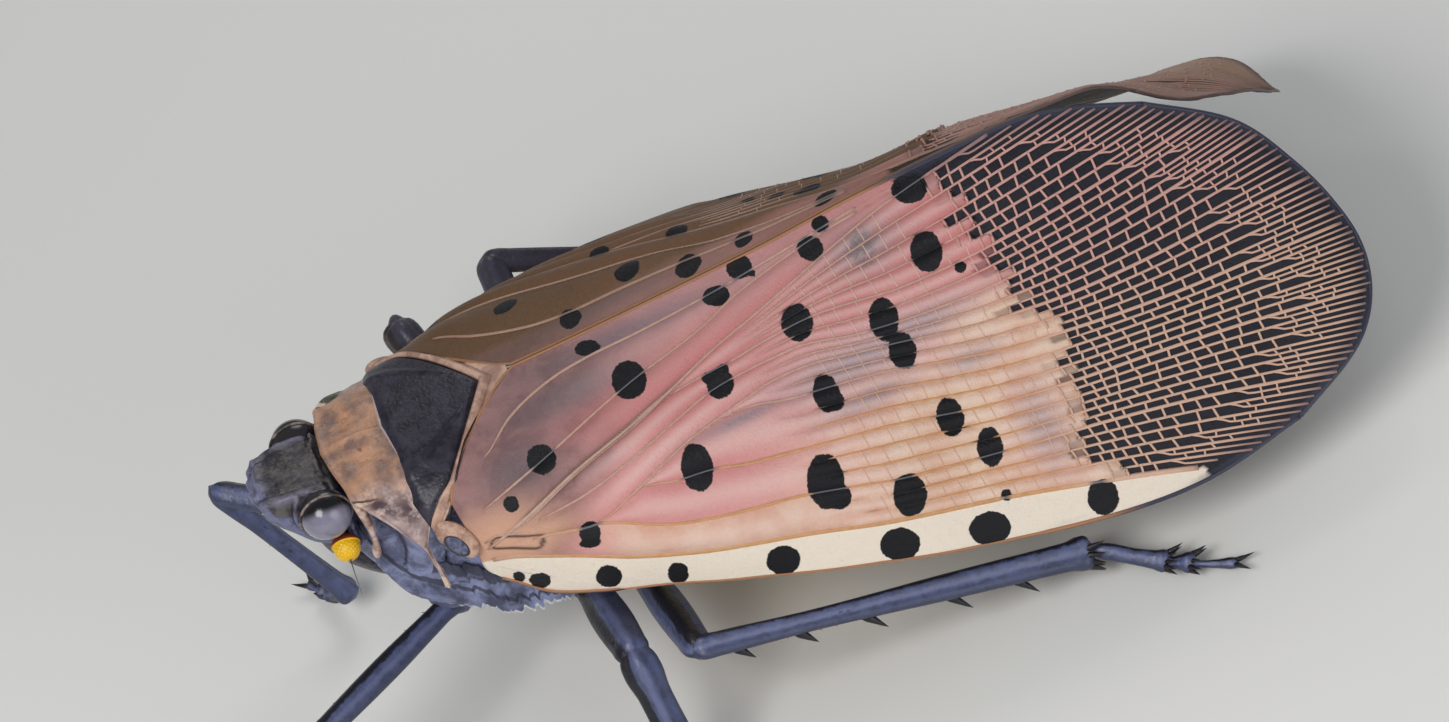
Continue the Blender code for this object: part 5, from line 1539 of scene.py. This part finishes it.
def rib_material(name, far_side_shade):
    material, tree, shader = new_material(name, 0.4)
    fine = grain(tree, 7.0, 4.0)
    upper = blend(tree, fine, (0.42, 0.24, 0.19), (0.68, 0.46, 0.37))
    orange = blend(tree, step_up(tree, stored(tree, "low"), 0.3, 0.75), upper,
                   blend(tree, fine, (0.52, 0.24, 0.09), (0.78, 0.44, 0.22)))
    pink = blend(tree, stored(tree, "low"), (0.62, 0.3, 0.27), (0.68, 0.42, 0.3))
    pink = blend(tree, times(tree, fine, 0.4), pink, (0.84, 0.62, 0.52))
    pink = blend(tree, stored(tree, "rim"), pink, (0.22, 0.14, 0.15))
    colour = blend(tree, stored(tree, "net"), orange, pink)
    colour = blend(tree, stored(tree, "pale"), colour, (0.82, 0.58, 0.5))
    faint = blend(tree, stored(tree, "main"), (0.005, 0.005, 0.008), (0.13, 0.135, 0.155))
    colour = blend(tree, stored(tree, "spotted"), colour, faint)
    colour = blend(tree, step_up(tree, stored(tree, "edge"), 0.6, 0.9), colour,
                   blend(tree, stored(tree, "net"), (0.42, 0.2, 0.1), (0.04, 0.042, 0.075)))
    # On the far wing the ribs are painted browner, as shade.
    if far_side_shade:
        colour = blend(tree, far_side_shade, colour, (0.2, 0.11, 0.06))
    tree.links.new(colour, shader.inputs["Base Color"])
    relief(tree, shader, grain(tree, 30.0, 3.0), 0.01)
    return material


def make_ribs(name, side, far_side_shade):
    """Sweeps a low four-sided section along every rib of one wing."""
    points, faces, count = [], [], 0
    marks = {"main": [], "net": [], "low": [], "edge": [], "pale": [], "spotted": [], "rim": []}
    for x, c, width, height, edge in rib_lines():
        inside = in_wing(x, c, -0.02) | (edge == 1.0) | (c > 11.5)
        x, c, width = x[inside], c[inside], width[inside]
        if len(x) < 3:
            continue
        spotted = np.zeros(len(x))
        for place_x, place_c, half_x, half_c in SPOTS if side < 0 else FAR_SPOTS:
            away = np.hypot((x - place_x) / half_x, (c - place_c) / half_c)
            spotted = np.maximum(spotted, 1 - ramp(0.95, 1.1, away))
        if height == 0.014 and (spotted.max() > 0.2 or (side > 0 and c.min() < 1.3)):
            continue
        width = width * (1 - 0.4 * spotted)
        row, room = rows_at(x, c)
        net = net_at(x, c, row)
        is_main = edge == 0.0 and np.ptp(row) < 0.01 and abs(row[0] - round(row[0])) < 0.02
        main = np.full(len(x), 1.0 if is_main else 0.0)
        lift = pleat_height(x, c, row, room, net)[0] if edge == 0.5 else -0.03 * net
        line, normal = on_roof(x, c, side, wave_of(x, c, side) + lift)
        clear = (side * line[:, 1] > WING_GAP + 0.02) | (edge == 1.0)
        if clear.sum() < 3:
            continue
        x, c, width, line, normal, spotted, main = (
            part[clear] for part in (x, c, width, line, normal, spotted, main))
        line[:, 1] = side * np.maximum(side * line[:, 1], WING_GAP)
        ahead = np.gradient(line, axis=0)
        across = np.cross(ahead, normal)
        across /= np.linalg.norm(across, axis=1)[:, None]
        n = len(x)
        for wide, high in ((-1.0, -RIB_ROOT), (-0.5, height), (0.5, height), (1.0, -RIB_ROOT)):
            points.append(line + across * (width * wide)[:, None] + normal * high)
        for i in range(n - 1):
            for k in range(4):
                a, b = count + k * n + i, count + (k + 1) % 4 * n + i
                faces.append((a, a + 1, b + 1, b))
        faces.append(tuple(count + k * n for k in range(4)))
        faces.append(tuple(count + k * n + n - 1 for k in (3, 2, 1, 0)))
        count += 4 * n
        net_x = np.interp(c, NET_START_C, NET_START_X)
        tone = ramp(NET_TONE_START, 0.1, x - net_x)
        tones = {"main": main, "net": tone, "low": ramp(3.0, 8.0, c), "edge": np.full(n, edge),
                 "spotted": spotted, "pale": np.full(n, 0.55 if height == 0.014 else 0.0),
                 "rim": 0.75 * (1 - ramp(0.1, 0.6, rim_distance(x, c))) * (edge < 1.0)}
        for key, value in tones.items():
            marks[key].append(np.tile(value, 4))
    piece = piece_of(name, np.concatenate(points), faces)
    for key, values in marks.items():
        mark(piece, key, np.concatenate(values))
    close_seams(piece, merge=False)
    return fit(piece, rib_material(f"rib_{name}", far_side_shade))


# The right wing's ribs are painted darker and browner as shade.
make_ribs("veins_left", -1, 0.0)
make_ribs("veins_right", 1, 0.5)


# Hindwings
# Thin wings folded away below the forewings: scarlet with black spots at the base, a white band,
# and a black outer part.
HIND_DEPTH = 0.8
HIND_BASE = ((1.1, 1.5), (1.0, 3.2), (1.1, 5.2))
HIND_TIP = ((12.6, 2.0), (14.2, 4.2), (14.3, 6.6), (12.6, 8.9))
HIND_COSTA = ((1.1, 5.2), (4.5, 7.6), (8.6, 9.1), (12.6, 8.9))
HIND_INNER = ((1.1, 1.5), (5.0, 1.4), (9.0, 1.6), (12.6, 2.0))
HIND_SPOTS = ((2.4, 3.0), (3.6, 5.0), (4.4, 2.6), (5.2, 6.2), (6.2, 4.2))


def hindwing_material():
    material, tree, shader = new_material("hindwing", 0.45)
    along = stored(tree, "along")
    fine = grain(tree, 8.0, 4.0)
    colour = blend(tree, fine, (0.5, 0.012, 0.01), (0.75, 0.05, 0.03))
    colour = blend(tree, step_up(tree, stored(tree, "spot"), -0.02, 0.02), colour, (0.01, 0.008, 0.01))
    edge = plus(tree, along, times(tree, fine, 0.6))
    colour = blend(tree, step_up(tree, edge, 7.5, 7.7), colour, (0.85, 0.82, 0.76))
    colour = blend(tree, step_up(tree, edge, 9.3, 9.5), colour, (0.02, 0.018, 0.022))
    tree.links.new(colour, shader.inputs["Base Color"])
    relief(tree, shader, fine, 0.02)
    return material


hindwing_finish = hindwing_material()
for hand, side in (("left", -1), ("right", 1)):
    hindwing, v, u = sheet_of(f"hind_wing_{hand}", 70, 110)
    x, c = wing_place(u, v, on_chain(HIND_INNER, u), on_chain(HIND_COSTA, u), HIND_BASE, HIND_TIP)
    pleats = 0.05 * np.abs(np.sin(math.pi * v * 12)) * ramp(0.0, 0.2, u)
    points, normal = on_roof(x, c, side, pleats - HIND_DEPTH)
    set_body_points(hindwing, points)
    if side > 0:
        hindwing.data.flip_normals()
    spot = np.full(x.shape, -1.0)
    for place_x, place_c in HIND_SPOTS:
        spot = np.maximum(spot, 0.34 - np.hypot(x - place_x, 0.8 * (c - place_c)))
    mark(hindwing, "spot", spot)
    mark(hindwing, "along", x + 0.25 * c)
    use_modifier(hindwing, "SOLIDIFY", thickness=0.04 * MM, offset=-1.0)
    fit(hindwing, hindwing_finish, (f"hindwing_{hand}",))


# Studio
# A plain pale floor under soft lights. The camera looks down on the insect's left side with the
# photograph's tilt and framing.
PALE = (0.9, 0.9, 0.88)
VIEW_DOWN = math.radians(45)
ROLL = math.radians(25)
AIM = (4.606, -1.4, 6.775)
SCALE = 45.0
FRAME_WIDTH = 1449
LENS, SENSOR = 300.0, 36.0


def area_light(name, place, aim, size, power, colour=(1.0, 1.0, 1.0)):
    light = bpy.data.lights.new(name, "AREA")
    light.shape = "DISK"
    light.size = size * MM
    light.energy = power
    light.color = colour
    lamp = bpy.data.objects.new(name, light)
    bpy.context.scene.collection.objects.link(lamp)
    lamp.location = Vector(BODY_ZERO) + Vector(place) * MM
    toward = (Vector(aim) - Vector(place)).normalized()
    lamp.rotation_mode = "QUATERNION"
    lamp.rotation_quaternion = toward.to_track_quat("-Z", "Y")
    return lamp


bpy.ops.object.select_all(action="DESELECT")
bpy.ops.mesh.primitive_circle_add(vertices=96, radius=0.4, fill_type="NGON", location=(0, 0, -0.00001))
floor = bpy.context.object
floor.name = "floor"
floor_material, _, floor_shader = new_material("floor", 0.85)
floor_shader.inputs["Base Color"].default_value = (*PALE, 1.0)
floor.data.materials.append(floor_material)

world = bpy.data.worlds.new("room")
world.use_nodes = True
world.node_tree.nodes["Background"].inputs["Color"].default_value = (0.9, 0.95, 1.0, 1.0)
world.node_tree.nodes["Background"].inputs["Strength"].default_value = 0.21
bpy.context.scene.world = world
area_light("key", (-40, -50, 75), (4, -2, 5), 50, 0.048, (1.0, 0.98, 0.95))
area_light("fill", (45, -70, 30), (4, -2, 4), 60, 0.016)
area_light("back", (30, 60, 60), (4, 0, 5), 50, 0.014)
bpy.context.scene.view_settings.view_transform = "Standard"

camera_data = bpy.data.cameras.new("camera")
camera = bpy.data.objects.new("camera", camera_data)
bpy.context.scene.collection.objects.link(camera)
camera_data.lens = LENS
camera_data.sensor_width = SENSOR
camera_data.clip_start = 0.001
camera_data.clip_end = 10.0
distance = LENS / SENSOR * FRAME_WIDTH / SCALE
back = Vector((0, -math.cos(VIEW_DOWN), math.sin(VIEW_DOWN)))
steep = Vector((0, math.sin(VIEW_DOWN), math.cos(VIEW_DOWN)))
right = Vector((1, 0, 0)) * math.cos(ROLL) - steep * math.sin(ROLL)
up = Vector((1, 0, 0)) * math.sin(ROLL) + steep * math.cos(ROLL)
camera.location = Vector(BODY_ZERO) + (Vector(AIM) + back * distance) * MM
camera.rotation_mode = "QUATERNION"
from_axes = Matrix((right, up, back)).transposed()
camera.rotation_quaternion = from_axes.to_quaternion()
bpy.context.scene.camera = camera
